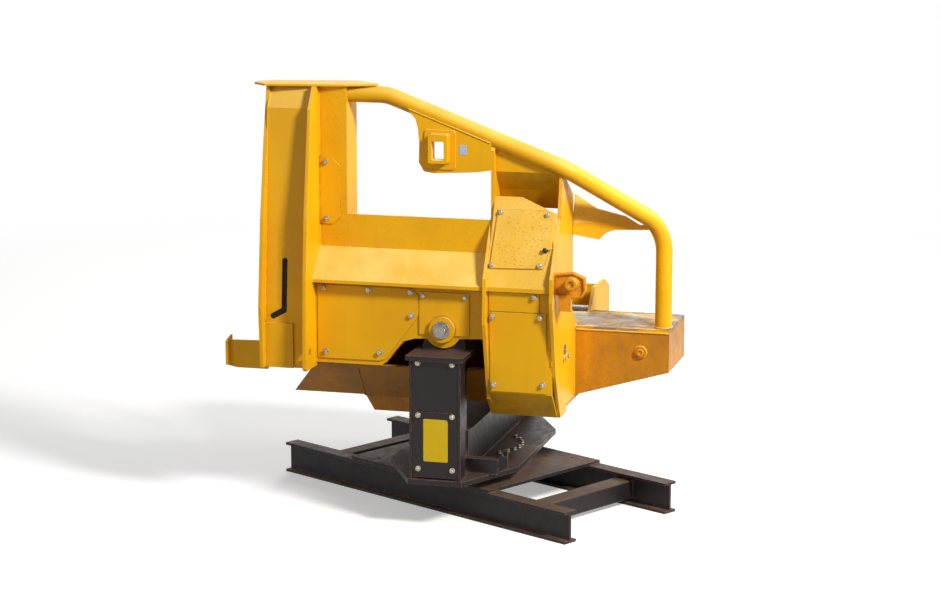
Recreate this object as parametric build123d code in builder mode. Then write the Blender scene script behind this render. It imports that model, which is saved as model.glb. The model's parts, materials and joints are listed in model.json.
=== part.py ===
from build123d import *
import os
from itertools import pairwise
from math import atan2, cos, degrees, hypot, radians, sin

# A pull-through delimber on its swivelling cradle and a short carrier frame, in millimetres.
# +X is the way a stem is pulled, -Y is the housed near side, +Z is up.
# The origin is the swing axis at the underside of the carrier rails.

os.makedirs("parts", exist_ok=True)

# Thicknesses and running gaps
FRAME_PLATE = 20  # plates that stand across the trough
SKIN = 12  # folded side sheets
COVER = 8  # bolted covers
COVER_EDGE = 10  # left bare round a cover
FLOOR_PLATE = 20
BELLY_PLATE = 15
WEB_PLATE = 20
FIT_GAP = 0.3  # between a pin and its bore, and round a welded tube
RUNNING_GAP = 10  # between pieces that pass each other

# Carrier frame, turned under the head as it stands at rest
CARRIER_YAW = -29  # degrees
RAIL_LENGTH = 2400
RAIL_HEIGHT = 190
RAIL_WIDTH = 100
RAIL_OUTER = 500  # half the width over both rails
RAIL_WEB = 14
RAIL_FLANGE = 16
CROSS_TUBE = 120
CROSS_WALL = 8
CROSS_CORNER = 12
CROSS_OUT = 850  # from the swing axis to each cross tube
DECK_LENGTH = 1180
DECK_PLATE = 20
DECK_HOLE_R = 210
BOLT_HOLE_R = 11

# Swing ring and yoke
RING_OUTER_R = 345
RING_INNER_R = 230
RING_RACE = 32
RING_GAP = 0.5
YOKE_PLATE = 30
YOKE_END = 930
YOKE_END_HALF = 165
YOKE_WAIST_HALF = 400
YOKE_WAIST_Y = 480
BEAM_HALF = 130
BEAM_HEIGHT = 240
BEAM_WALL = 16
POST_HALF = 155
POST_FRONT = 920
POST_FLANGE = 90  # depth of the open front of a post
POST_BACK = 640
POST_CORE_HALF = 118
POST_WALL = 12
POST_LIP = 30
POST_COVER_SPLIT = 715
COVER_INSET = 15
CAP_OVERHANG = 18
CAP_PLATE = 28
CAP_TOP_Z = 1048
EAR_OUTER = 715
EAR_PLATE = 40
EAR_R = 98
EAR_HALF = 130
EAR_FOOT = 20
STOP_END_X = 325
STOP_HALF = 30
STOP_HEIGHT = 92
STOP_WALL = 8
STOP_LUG = 58
STOP_LUG_PLATE = 14
STOP_PIN_R = 16

# Rocking pivot
PIN_Z = 1175
PIN_R = 45
PIN_WASHER_R = 52
PIN_WASHER = 8
PIN_NUT = 62  # across the flats
PIN_NUT_HEIGHT = 30
PIN_NUT_TURN = 10  # degrees
BOSS_R = 78
BOSS_OUT = 28
LUG_R = 114

# Left face of each plate that stands across the trough
SAW_OUTER_X = -1085
SAW_INNER_X = -801
JAMB_X = -632
RIB_LEFT_X = 262
RIB_RIGHT_X = 662
END_X = 1258

# Heights
BELLY_Z = 685
HOUSE_BOTTOM_Z = 652
HOUSE_FOLD_Z = 812
TROUGH_Z = 1135
TROUGH_RISE = 130  # from the floor to where the guides open out
TOWER_BOTTOM_Z = 915
PANEL_BOTTOM_Z = 935
LIP_Z = 1450
LIP_DROP = 20
FOLD_Z = 1625
SILL_Z = 1822
WEB_TOP_Z = 1430
FAR_WEB_TOP_Z = 1240
FAR_SIDE_Z = 1205
FAR_PANEL_Z = 1295
FAR_WALL_Z = 1400

# Depths from the swing axis
NAME_Y = -650
LIP_Y = -812
PANEL_Y = -742
HOUSE_FRONT_Y = -785
BELLY_HALF = 460
FLOOR_HALF = 190
GUIDE_HALF = 320
RIB_INNER = 305
JAMB_BACK = 450

# Arch of the side sheets over the cradle
ARCH_FOOT_X = -372
ARCH_BEND_X = -241
ARCH_BEND_Z = 1089
ARCH_TOP_X = -168
ARCH_TOP_Z = 1110
ARCH_END_Z = 1128

# Belly
BELLY_LEFT_X = -1017
BELLY_RAKE = 0.86  # how far its left end leans for each unit of height
BELLY_TOP_Z = 905
POST_ROOM = 80  # each side of the far post
BUMP_LEFT_X = -570
BUMP_RIGHT_X = -165
BUMP_RAKE = 58
BUMP_Z = 590
BUMP_NEAR = 452
BUMP_FAR = 120
BUMP_PLATE = 10

# Butt-end rest
END_HALF = 250
END_LOW_Z = 710
END_RISE = 168
END_BOSS_R = 34
END_BOSS_X = 1087
END_BOSS_Z = 995
END_BOSS = 16

# Lug for tying the head down, outside the right rib
TIE_Y = -750
TIE_BOSS_X = 788
TIE_BOSS_Z = 1497
TIE_BOSS_R = 34
TIE_BOSS = 60
TIE_HOLE_R = 16

# Bolted covers
SIDE_COVER_X = -145
SIDE_COVER_BEND_Z = 1252
PIN_COVER_X = 163
PIN_COVER_DROP = 36
PIN_COVER_RISE = 220
BOX_SPLIT = 120  # from the lip down to the joint of the two front covers
TOWER_COVER_X = -655
TOWER_COVER_DROP = 62
TOWER_COVER_RISE = 328
COVER_CUT = 42  # corners
COVER_GAP = 4

# Guard tube
TUBE_R = 50
TUBE_WALL = 8
GUARD_Y = -580
GUARD_TOP_Z = 2530
GUARD_DROP = 402
GUARD_BEND_X = -380
GUARD_TURN_X = 700
GUARD_FOOT_X = 1203
GUARD_FOOT_Y = -150
GUARD_KNEE_DROP = 790
GUARD_BEND_R = 260
HOUSE_UNDER_GUARD = 182  # from the tube's middle down to the housing's top
HOUSE_CUT_WIDTH = 214
HOUSE_CUT_HEIGHT = 92
GUSSET_FRONT = 46  # its face, ahead of the tube's middle
GUSSET_DROP = 24  # its top edge, under the tube's middle

# Lifting eye in the gusset
EYE_X = -48
EYE_UNDER_GUARD = 186
EYE_HOLE_WIDTH = 76
EYE_HOLE_HEIGHT = 110
EYE_WALL = 20
EYE_HEAD = 40
EYE_CORNER = 18
EYE_OUT = 55
DOUBLER_WIDTH = 184
DOUBLER_HEIGHT = 229
DOUBLER = 8

# Saw box
FACE_Y = 850
FACE_BREAK = 127  # from the top down to the break in the face
SLOT_X = -945
SLOT_WIDTH = 34
SLOT_TOP_Z = 1572
SLOT_FOOT_Z = 1245
SLOT_DEPTH = 60
SLOT_LEAN = 72
SLOT_STEP = 40
LEDGE_Z = 1185
LEDGE_X = -889
LEDGE = 14
PORT_SIDE = 44
PORT_Y = -871
PORT_Z = 1017
WING_X = -1340
WING_Y = -760
WING_BOTTOM_Z = 876
WING_TOP_Z = 1043
WING_END_DEPTH = 95
HEAD_OUT = 85  # of the head plate past the outer saw plate
HEAD_TONGUE_X = -440
HEAD_TONGUE = 40
HEAD_NEAR = 752
HEAD_FAR = 545
HEAD_BEVEL = 75

# Brace from the right rib to the guard tube's foot
BRACE_Y = -310
BRACE_RISE = 193
BRACE_PLATE = 10

# Knives
STEM_R = 300  # inside radius of the blades
KNIFE_PIVOT_Y = 500
KNIFE_PIVOT_Z = 1035
KNIFE_PIN_R = 38
KNIFE_HUB_R = 75
KNIFE_BLADE = 58
KNIFE_BLADE_THICK = 18
KNIFE_BEVEL = 24
KNIFE_ARM = 38
KNIFE_ARM_DEPTH = 85
KNIFE_ARM_SINK = 4  # of the arm into the blade's back
KNIFE_SET = 50  # from a hub's left end to the blade at the second station
KNIFE_EDGE = 4
KNIFE_TIP = 100  # degrees round the blade's circle
KNIFE_HEEL = 205
KNIFE_REST = -26  # turned in from the place where both blades make one circle

# Topping saw
SAW_PIVOT_Y = -640
SAW_PIVOT_Z = 1050
SAW_LENGTH = 960
SAW_BAR_HALF = 48
SAW_BAR_PLATE = 12
SAW_BAR_HUB = 22
SAW_BAR_HUB_R = 42
SAW_X = -940
SAW_HUB_R = 80
CHAIN_BAND = 11
CHAIN_WIDTH = 16


def offset_line(points, distance):
    """The polyline moved to its left by distance, with mitred corners."""
    normals = []
    for (a0, b0), (a1, b1) in pairwise(points):
        length = hypot(a1 - a0, b1 - b0)
        normals.append(((b0 - b1) / length, (a1 - a0) / length))
    moved = []
    for i, (a, b) in enumerate(points):
        na, nb = normals[max(i - 1, 0)]
        ma, mb = normals[min(i, len(normals) - 1)]
        scale = distance / (1 + na * ma + nb * mb)
        moved.append((a + (na + ma) * scale, b + (nb + mb) * scale))
    return moved


def sheet(points, thickness):
    """Closed outline of a folded sheet whose outer face follows points."""
    return points + offset_line(points, thickness)[::-1]


def keep(part, label):
    part.label = label
    export_step(part, f"parts/{label}.step")


def guard_z(x):
    """Height of the guard tube's middle over its sloping run."""
    return GUARD_TOP_Z - GUARD_DROP * (x - GUARD_BEND_X) / (GUARD_TURN_X - GUARD_BEND_X)


def lug_and_bore():
    """Rounds a sheet out to the rocking pin's lug and bores it."""
    with Locations((0, PIN_Z)):
        Circle(LUG_R)
        Circle(PIN_R + FIT_GAP, mode=Mode.SUBTRACT)


def knife_plane(side, x):
    """Plane across a knife's shaft, turned to its rest angle."""
    turn = radians(KNIFE_REST)
    return Plane(
        (x, side * KNIFE_PIVOT_Y, KNIFE_PIVOT_Z),
        x_dir=(0, -side * cos(turn), sin(turn)),
        z_dir=(-side, 0, 0),
    )


def on_circle(radius, angle):
    """A point round the blade's circle, in the knife's own plane."""
    return (blade_y + radius * cos(radians(angle)), blade_z + radius * sin(radians(angle)))


# Heights and depths that follow from the sizes above
deck_z = RAIL_HEIGHT
race_z = deck_z + DECK_PLATE
upper_race_z = race_z + RING_RACE + RING_GAP
yoke_z = upper_race_z + RING_RACE
post_z = yoke_z + YOKE_PLATE
cap_z = CAP_TOP_Z - CAP_PLATE
web_outer_y = -(EAR_OUTER - EAR_PLATE - RUNNING_GAP)
web_inner_y = web_outer_y + WEB_PLATE
tower_top_z = GUARD_TOP_Z + TUBE_R + FIT_GAP
house_top_z = guard_z(RIB_RIGHT_X) - HOUSE_UNDER_GUARD
guard_knee_z = GUARD_TOP_Z - GUARD_KNEE_DROP
floor_z = TROUGH_Z - FLOOR_PLATE
guide_z = TROUGH_Z + TROUGH_RISE
belly_top_z = BELLY_Z + BELLY_PLATE
bay_left_x = JAMB_X + FRAME_PLATE
station_b_x = SAW_INNER_X + FRAME_PLATE
station_a_x = RIB_LEFT_X + FRAME_PLATE
rest_x = RIB_RIGHT_X + FRAME_PLATE
blade_y = KNIFE_PIVOT_Y
blade_z = TROUGH_Z + STEM_R - KNIFE_PIVOT_Z

# Folds in Y and Z
side_line = [
    (NAME_Y, SILL_Z),
    (NAME_Y, FOLD_Z),
    (LIP_Y, LIP_Z),
    (LIP_Y, LIP_Z - LIP_DROP),
    (PANEL_Y, LIP_Z - LIP_DROP),
]
house_line = [
    (NAME_Y + 38, house_top_z),
    (LIP_Y, LIP_Z + 5),
    (LIP_Y, LIP_Z - LIP_DROP),
    (HOUSE_FRONT_Y, LIP_Z - LIP_DROP),
    (PANEL_Y, HOUSE_FOLD_Z),
    (-612, HOUSE_BOTTOM_Z),
    (-BELLY_HALF, HOUSE_BOTTOM_Z),
    (-BELLY_HALF, belly_top_z),
]
near_trough = [
    (NAME_Y + 2 * SKIN, SILL_Z - 2 * SKIN),
    (-400, LIP_Z),
    (-GUIDE_HALF, guide_z),
    (-FLOOR_HALF, TROUGH_Z),
]
far_trough = [(FLOOR_HALF, TROUGH_Z), (GUIDE_HALF, guide_z), (420, FAR_WALL_Z)]
far_hood = [
    (-PANEL_Y, FAR_PANEL_Z),
    (-PANEL_Y, FAR_PANEL_Z + SKIN),
    (590, FAR_WALL_Z),
    (432, FAR_WALL_Z),
]
belly_line = [
    (-625, BELLY_TOP_Z),
    (-BELLY_HALF, BELLY_Z),
    (BELLY_HALF, BELLY_Z),
    (600, BELLY_TOP_Z - 5),
    (-PANEL_Y - SKIN, PANEL_BOTTOM_Z),
]

# Lower edge of the near and far sheets, arched over the cradle, in X and Z
arch = [
    (ARCH_FOOT_X, PANEL_BOTTOM_Z),
    (ARCH_BEND_X, ARCH_BEND_Z),
    (ARCH_TOP_X, ARCH_TOP_Z),
    (RIB_LEFT_X, ARCH_END_Z),
]

# Plates across the trough in Y and Z: near edge from the top, then the cradle, then the edge by the stem
side_inner = offset_line(side_line, SKIN)
belly_inner = offset_line(belly_line, BELLY_PLATE)
floor_seat = [
    (GUIDE_HALF - 10, guide_z),
    (FLOOR_HALF, TROUGH_Z - 10),
    (FLOOR_HALF, floor_z),
    (-FLOOR_HALF, floor_z),
    (-FLOOR_HALF, TROUGH_Z - 10),
    (-GUIDE_HALF - 10, guide_z),
]
far_cradle = [
    *belly_inner[2:],
    (-PANEL_Y - SKIN, FAR_PANEL_Z),
    (586, FAR_WALL_Z - SKIN),
    (420, FAR_WALL_Z - SKIN),
    *floor_seat,
]
low_cradle = [
    *belly_inner[2:],
    (-PANEL_Y - SKIN, FAR_SIDE_Z),
    (600, guide_z),
    *floor_seat,
]
saw_outer_edge = [
    (-560, tower_top_z),
    (-711, tower_top_z),
    (-778, tower_top_z - 312),
    (-858, 1804),
    (-918, 1277),
    (-896, TOWER_BOTTOM_Z),
    (-500, TOWER_BOTTOM_Z),
    (-500, 1400),
]
saw_inner_edge = [
    (-560, tower_top_z),
    (-726, tower_top_z),
    (-806, tower_top_z - FACE_BREAK),
    (-902, 1818),
    (-934, 1455),
    (-955, 931),
    (-930, TOWER_BOTTOM_Z),
    *belly_inner[:2],
]
jamb_edge = [
    (-JAMB_BACK, tower_top_z),
    (NAME_Y + SKIN, tower_top_z),
    *side_inner[1:4],
    (PANEL_Y + SKIN, side_inner[3][1]),
    (PANEL_Y + SKIN, PANEL_BOTTOM_Z),
    *belly_inner[:2],
]
rib_foot = [
    (-609, HOUSE_BOTTOM_Z),
    (-BELLY_HALF, HOUSE_BOTTOM_Z),
    (-BELLY_HALF, belly_top_z),
]
rib_left_z = guard_z(RIB_LEFT_X + FRAME_PLATE / 2)
rib_left_edge = [
    (GUARD_Y + 30, rib_left_z),
    (GUARD_Y - 10, rib_left_z),
    (GUARD_Y - GUSSET_FRONT, rib_left_z - 60),
    (-625, house_top_z - 126),
    (NAME_Y, house_top_z - 145),
    (LIP_Y - 12, LIP_Z + 52),
    (LIP_Y - 25, 1232),
    (-719, 766),
    *rib_foot,
]
rib_right_z = guard_z(RIB_RIGHT_X + FRAME_PLATE / 2)
rib_right_edge = [
    (GUARD_Y + 30, rib_right_z),
    (GUARD_Y - 10, rib_right_z),
    (GUARD_Y - 10, rib_right_z - 60),
    (-635, house_top_z - 118),
    (LIP_Y - 18, LIP_Z + 70),
    (LIP_Y - 29, 1380),
    (PANEL_Y, 927),
    *rib_foot,
]


def rib_stem_edge(top_z):
    """Edge of a rib beside the stem, up to its foot on the guard tube."""
    return [(-RIB_INNER, guide_z + 65), (-RIB_INNER, house_top_z - 20), (GUARD_Y + 60, top_z - 64)]


# Guard tube over the housing
with BuildPart() as guard_tube:
    with BuildLine() as guard_path:
        FilletPolyline(
            (bay_left_x, GUARD_Y, GUARD_TOP_Z),
            (GUARD_BEND_X, GUARD_Y, GUARD_TOP_Z),
            (GUARD_TURN_X, GUARD_Y, guard_z(GUARD_TURN_X)),
            (GUARD_FOOT_X, GUARD_FOOT_Y, guard_knee_z),
            (GUARD_FOOT_X, GUARD_FOOT_Y, TROUGH_Z),
            radius=GUARD_BEND_R,
        )
    with BuildSketch(Plane(guard_path.line @ 0, z_dir=guard_path.line % 0)):
        Circle(TUBE_R)
        Circle(TUBE_R - TUBE_WALL, mode=Mode.SUBTRACT)
    sweep()
keep(guard_tube.part, "guard_tube")

# The room the guard tube takes in the plates that are welded round it
with BuildPart() as guard_room:
    add(guard_path.line)
    with BuildSketch(Plane(guard_path.line @ 0, z_dir=guard_path.line % 0)):
        Circle(TUBE_R + FIT_GAP)
    sweep()

# name, left face, outline, bores for the knife pins
window_corner = (-410, LIP_Z - 5)
stations = [
    ("saw_inner_plate", SAW_INNER_X, [*saw_inner_edge, *far_cradle, window_corner], True),
    ("jamb_plate", JAMB_X, [*jamb_edge, *far_cradle, window_corner, (-JAMB_BACK, LIP_Z + 110)], True),
    ("rib_left", RIB_LEFT_X, [*rib_left_edge, *far_cradle, *rib_stem_edge(rib_left_z)], True),
    ("rib_right", RIB_RIGHT_X, [*rib_right_edge, *low_cradle, *rib_stem_edge(rib_right_z)], True),
    ("saw_outer_plate", SAW_OUTER_X, saw_outer_edge, False),
]
for label, left_x, outline, has_pins in stations:
    with BuildPart() as station:
        with BuildSketch(Plane.YZ.offset(left_x)):
            Polygon(*outline, align=None)
            if has_pins:
                with Locations((-KNIFE_PIVOT_Y, KNIFE_PIVOT_Z), (KNIFE_PIVOT_Y, KNIFE_PIVOT_Z)):
                    Circle(KNIFE_PIN_R + FIT_GAP, mode=Mode.SUBTRACT)
            if label == "saw_inner_plate":
                with Locations((PORT_Y, PORT_Z)):
                    Rectangle(PORT_SIDE, PORT_SIDE, mode=Mode.SUBTRACT)
        extrude(amount=FRAME_PLATE)
        if label.startswith("rib"):
            add(guard_room.part, mode=Mode.SUBTRACT)
    keep(station.part, label)

# name, outline in Y and Z, left face, width
folded_sheets = [
    ("near_guide", sheet(near_trough, -SKIN), bay_left_x, RIB_LEFT_X - bay_left_x),
    ("far_guide", sheet(far_trough, -SKIN), bay_left_x, RIB_LEFT_X - bay_left_x),
    ("far_hood", sheet(far_hood, SKIN), bay_left_x, RIB_LEFT_X - bay_left_x),
]
for label, outline, left_x, width in folded_sheets:
    with BuildPart() as folded:
        with BuildSketch(Plane.YZ.offset(left_x)):
            Polygon(*outline, align=None)
        extrude(amount=width)
    keep(folded.part, label)

# Housing between the ribs, its top corner cut away by the right rib
slope_run = house_line[0][0] - house_line[1][0]
slope_rise = house_line[0][1] - house_line[1][1]
slope_length = hypot(slope_run, slope_rise)
slope_plane = Plane(
    (0, *house_line[1]),
    x_dir=(1, 0, 0),
    z_dir=(0, -slope_rise, slope_run),
)
with BuildPart() as house_skin:
    with BuildSketch(Plane.YZ.offset(station_a_x)):
        Polygon(*sheet(house_line, SKIN), align=None)
    extrude(amount=RIB_RIGHT_X - station_a_x)
    with BuildSketch(slope_plane):
        Polygon(
            (RIB_RIGHT_X - HOUSE_CUT_WIDTH, slope_length + SKIN),
            (RIB_RIGHT_X - HOUSE_CUT_WIDTH, slope_length),
            (RIB_RIGHT_X, slope_length - HOUSE_CUT_HEIGHT),
            (RIB_RIGHT_X, slope_length + SKIN),
            align=None,
        )
    extrude(amount=SKIN, both=True, mode=Mode.SUBTRACT)
keep(house_skin.part, "house_skin")

# Trough floor, wider at the butt end
with BuildPart() as trough_floor:
    with BuildSketch(Plane.XY.offset(floor_z)):
        with Locations(((station_b_x + END_X) / 2, 0)):
            Rectangle(END_X - station_b_x, 2 * FLOOR_HALF)
        with Locations(((rest_x + END_X) / 2, 0)):
            Rectangle(END_X - rest_x, 2 * END_HALF)
    extrude(amount=FLOOR_PLATE)
keep(trough_floor.part, "trough_floor")

# Belly: a flat with a near flange as far as the left rib, raked at its left end
with BuildPart() as belly_plate:
    with BuildSketch(Plane.YZ.offset(BELLY_LEFT_X)):
        Polygon(*sheet(belly_line, BELLY_PLATE), align=None)
    extrude(amount=RIB_LEFT_X - BELLY_LEFT_X)
    with BuildSketch(Plane.YZ.offset(RIB_LEFT_X)):
        Polygon(*sheet(belly_line[1:], BELLY_PLATE), align=None)
    extrude(amount=rest_x - RIB_LEFT_X)
    with BuildSketch(Plane.XY.offset(BELLY_Z)):
        with Locations((0, POST_BACK + POST_ROOM)):
            Rectangle(2 * (POST_HALF + POST_ROOM), 2 * (POST_ROOM + COVER_INSET))
    extrude(amount=PANEL_BOTTOM_Z, mode=Mode.SUBTRACT)
    rake_top = PANEL_BOTTOM_Z + BELLY_PLATE
    with BuildSketch(Plane.XZ):
        Polygon(
            (BELLY_LEFT_X, BELLY_Z),
            (BELLY_LEFT_X + BELLY_RAKE * (rake_top - BELLY_Z), rake_top),
            (BELLY_LEFT_X, rake_top),
            align=None,
        )
    extrude(amount=-PANEL_Y, both=True, mode=Mode.SUBTRACT)
keep(belly_plate.part, "belly_plate")

# Guard under the belly, an open-topped tray welded to it
with BuildPart() as belly_guard:
    with BuildSketch(Plane.XZ.offset(BUMP_FAR)):
        Polygon(
            (BUMP_LEFT_X, BELLY_Z),
            (BUMP_LEFT_X + BUMP_RAKE, BUMP_Z),
            (BUMP_RIGHT_X, BUMP_Z),
            (BUMP_RIGHT_X, BELLY_Z),
            align=None,
        )
    extrude(amount=BUMP_NEAR - BUMP_FAR)
    with BuildSketch(Plane.XZ.offset(BUMP_FAR + BUMP_PLATE)):
        Polygon(
            (BUMP_LEFT_X + BUMP_PLATE, BELLY_Z),
            (BUMP_LEFT_X + BUMP_RAKE + BUMP_PLATE, BUMP_Z + BUMP_PLATE),
            (BUMP_RIGHT_X - BUMP_PLATE, BUMP_Z + BUMP_PLATE),
            (BUMP_RIGHT_X - BUMP_PLATE, BELLY_Z),
            align=None,
        )
    extrude(amount=BUMP_NEAR - BUMP_FAR - 2 * BUMP_PLATE, mode=Mode.SUBTRACT)
keep(belly_guard.part, "belly_guard")

# Near side: one sheet with the tower, the window and the arch over the cradle
lip_foot_z = side_inner[3][1]
with BuildPart() as side_panel:
    with BuildSketch(Plane.YZ.offset(station_b_x)):
        Polygon(*sheet(side_line, SKIN), align=None)
    extrude(amount=RIB_LEFT_X - station_b_x)
    with BuildSketch(Plane.XZ.offset(-PANEL_Y)):
        Polygon(
            (station_b_x, lip_foot_z),
            (station_b_x, PANEL_BOTTOM_Z),
            *arch,
            (RIB_LEFT_X, lip_foot_z),
            align=None,
        )
        lug_and_bore()
    extrude(amount=-SKIN)
    with BuildSketch(Plane.XZ.offset(-NAME_Y)):
        Polygon(
            (station_b_x, SILL_Z),
            (station_b_x, tower_top_z),
            (bay_left_x, tower_top_z),
            (bay_left_x, SILL_Z),
            align=None,
        )
    extrude(amount=-SKIN)
    with BuildSketch(Plane.XZ.offset(-PANEL_Y)):
        with Locations((0, PIN_Z)):
            Circle(BOSS_R)
            Circle(PIN_R + FIT_GAP, mode=Mode.SUBTRACT)
    extrude(amount=BOSS_OUT)
keep(side_panel.part, "side_panel")

# Vertical plate on the far side, with the far pin's lug
with BuildPart() as far_panel:
    with BuildSketch(Plane.XZ.offset(PANEL_Y)):
        Polygon(
            (SAW_INNER_X, PANEL_BOTTOM_Z),
            *arch,
            (RIB_LEFT_X, PANEL_BOTTOM_Z),
            (rest_x, PANEL_BOTTOM_Z),
            (rest_x, FAR_SIDE_Z),
            (station_a_x, FAR_SIDE_Z),
            (station_a_x, FAR_PANEL_Z),
            (JAMB_X, FAR_PANEL_Z),
            (JAMB_X, FAR_SIDE_Z),
            (SAW_INNER_X, FAR_SIDE_Z),
            align=None,
        )
        lug_and_bore()
    extrude(amount=SKIN)
    with BuildSketch(Plane.XZ.offset(PANEL_Y)):
        with Locations((0, PIN_Z)):
            Circle(BOSS_R)
            Circle(PIN_R + FIT_GAP, mode=Mode.SUBTRACT)
    extrude(amount=-BOSS_OUT)
keep(far_panel.part, "far_panel")

# Inner webs that carry the pins behind the ears
for label, side, top_z in (("near_web", -1, WEB_TOP_Z), ("far_web", 1, FAR_WEB_TOP_Z)):
    with BuildPart() as web:
        with BuildSketch(Plane.XZ.offset(side * web_outer_y)):
            Polygon(
                (bay_left_x, top_z),
                (bay_left_x, PANEL_BOTTOM_Z),
                *arch,
                (RIB_LEFT_X, top_z),
                align=None,
            )
            lug_and_bore()
        extrude(amount=side * WEB_PLATE)
    keep(web.part, label)

# Rocking pins, one through each lug, ear and web, with a washer and a nut outside
pin_end_y = -PANEL_Y + BOSS_OUT
with BuildPart() as rock_pins:
    with BuildSketch(Plane.XZ.offset(pin_end_y)):
        with Locations((0, PIN_Z)):
            Circle(PIN_R)
    extrude(amount=-(pin_end_y + web_inner_y))
    with BuildSketch(Plane.XZ.offset(pin_end_y)):
        with Locations((0, PIN_Z)):
            Circle(PIN_WASHER_R)
    extrude(amount=PIN_WASHER)
    with BuildSketch(Plane.XZ.offset(pin_end_y + PIN_WASHER)):
        with Locations((0, PIN_Z)):
            RegularPolygon(PIN_NUT / 2, 6, major_radius=False, rotation=PIN_NUT_TURN)
    extrude(amount=PIN_NUT_HEIGHT)
    mirror(about=Plane.XZ)
keep(rock_pins.part, "rock_pins")

# Saw box: face with its slot and ledge
saw_gap_x = SAW_OUTER_X + FRAME_PLATE
saw_face_line = [
    (-675, tower_top_z),
    (-750, tower_top_z - FACE_BREAK),
    (-FACE_Y, 1277),
    (-FACE_Y, TOWER_BOTTOM_Z),
]
foot_run = hypot(SLOT_LEAN, SLOT_STEP)
with BuildPart() as saw_face:
    with BuildSketch(Plane.YZ.offset(saw_gap_x)):
        Polygon(*sheet(saw_face_line, SKIN), align=None)
    extrude(amount=SAW_INNER_X - saw_gap_x)
    with BuildSketch(Plane.XZ.offset(FACE_Y)):
        Polygon(
            (saw_gap_x, TOWER_BOTTOM_Z),
            (LEDGE_X, TOWER_BOTTOM_Z),
            (LEDGE_X, LEDGE_Z),
            (saw_gap_x, LEDGE_Z),
            align=None,
        )
    extrude(amount=LEDGE)
    with BuildSketch(Plane.XZ.offset(FACE_Y)):
        slot_foot_z = SLOT_FOOT_Z + SLOT_WIDTH / 2
        with Locations((SLOT_X, (SLOT_TOP_Z + SLOT_FOOT_Z) / 2)):
            SlotOverall(SLOT_TOP_Z - SLOT_FOOT_Z, SLOT_WIDTH, rotation=90)
        with Locations((SLOT_X - SLOT_LEAN / 2, slot_foot_z - SLOT_STEP / 2)):
            SlotCenterToCenter(foot_run, SLOT_WIDTH, rotation=degrees(atan2(SLOT_STEP, SLOT_LEAN)))
    extrude(amount=SLOT_DEPTH, both=True, mode=Mode.SUBTRACT)
keep(saw_face.part, "saw_face")

# Head plate of the tower
with BuildPart() as tower_top:
    with BuildSketch(Plane.XY.offset(tower_top_z)):
        Polygon(
            (SAW_OUTER_X - HEAD_OUT, -HEAD_NEAR + HEAD_BEVEL),
            (SAW_OUTER_X, -HEAD_NEAR),
            (bay_left_x, NAME_Y - 2 * RUNNING_GAP),
            (HEAD_TONGUE_X, GUARD_Y - HEAD_TONGUE / 2),
            (HEAD_TONGUE_X, GUARD_Y + HEAD_TONGUE / 2),
            (bay_left_x, -JAMB_BACK + RUNNING_GAP),
            (SAW_OUTER_X, -HEAD_FAR),
            (SAW_OUTER_X - HEAD_OUT, -HEAD_FAR - HEAD_BEVEL),
            align=None,
        )
    extrude(amount=SKIN)
keep(tower_top.part, "tower_top")

# Wing that keeps limbs off the saw box, flanged at its end
with BuildPart() as limb_wing:
    with BuildSketch(Plane.XZ.offset(-WING_Y)):
        Polygon(
            (WING_X, WING_TOP_Z),
            (WING_X, WING_BOTTOM_Z + 12),
            (WING_X + 60, WING_BOTTOM_Z),
            (SAW_OUTER_X, WING_BOTTOM_Z),
            (SAW_OUTER_X, WING_TOP_Z + 7),
            align=None,
        )
    extrude(amount=-SKIN)
    with BuildSketch(Plane.YZ.offset(WING_X)):
        Polygon(
            (WING_Y - 35, WING_BOTTOM_Z + 20),
            (WING_Y - 35, WING_TOP_Z),
            (WING_Y - 35 + WING_END_DEPTH, WING_TOP_Z + 22),
            (WING_Y - 35 + WING_END_DEPTH, WING_BOTTOM_Z + 12),
            align=None,
        )
    extrude(amount=SKIN)
keep(limb_wing.part, "limb_wing")

# Gusset against the near side of the guard tube, with the lifting eye
gusset_near = -GUARD_Y + GUSSET_FRONT
eye_z = guard_z(EYE_X) - EYE_UNDER_GUARD
eye_width = EYE_HOLE_WIDTH + 2 * EYE_WALL
eye_height = EYE_HOLE_HEIGHT + EYE_WALL + EYE_HEAD
# X, and how far below the tube's middle
gusset_drops = [
    (-248, GUSSET_DROP),
    (-233, 36),
    (-196, 64),
    (-182, 111),
    (-173, 193),
    (-176, 311),
    (-145, 352),
    (-81, 338),
    (174, 227),
    (RIB_LEFT_X, 181),
    (RIB_LEFT_X, GUSSET_DROP),
]
with BuildPart() as lift_gusset:
    with BuildSketch(Plane.XZ.offset(gusset_near)):
        Polygon(*[(x, guard_z(x) - drop) for x, drop in gusset_drops], align=None)
    extrude(amount=-FRAME_PLATE)
    with BuildSketch(Plane.XZ.offset(gusset_near)):
        with Locations((EYE_X, eye_z)):
            RectangleRounded(DOUBLER_WIDTH, DOUBLER_HEIGHT, EYE_CORNER)
    extrude(amount=DOUBLER)
    with BuildSketch(Plane.XZ.offset(gusset_near)):
        with Locations((EYE_X, eye_z + (EYE_HEAD - EYE_WALL) / 2)):
            RectangleRounded(eye_width, eye_height, EYE_CORNER / 2)
    extrude(amount=EYE_OUT)
    with BuildSketch(Plane.XZ.offset(gusset_near - FRAME_PLATE)):
        with Locations((EYE_X, eye_z)):
            RectangleRounded(EYE_HOLE_WIDTH, EYE_HOLE_HEIGHT, EYE_CORNER / 2)
    extrude(amount=FRAME_PLATE + EYE_OUT, mode=Mode.SUBTRACT)
    add(guard_room.part, mode=Mode.SUBTRACT)
keep(lift_gusset.part, "lift_gusset")

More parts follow.
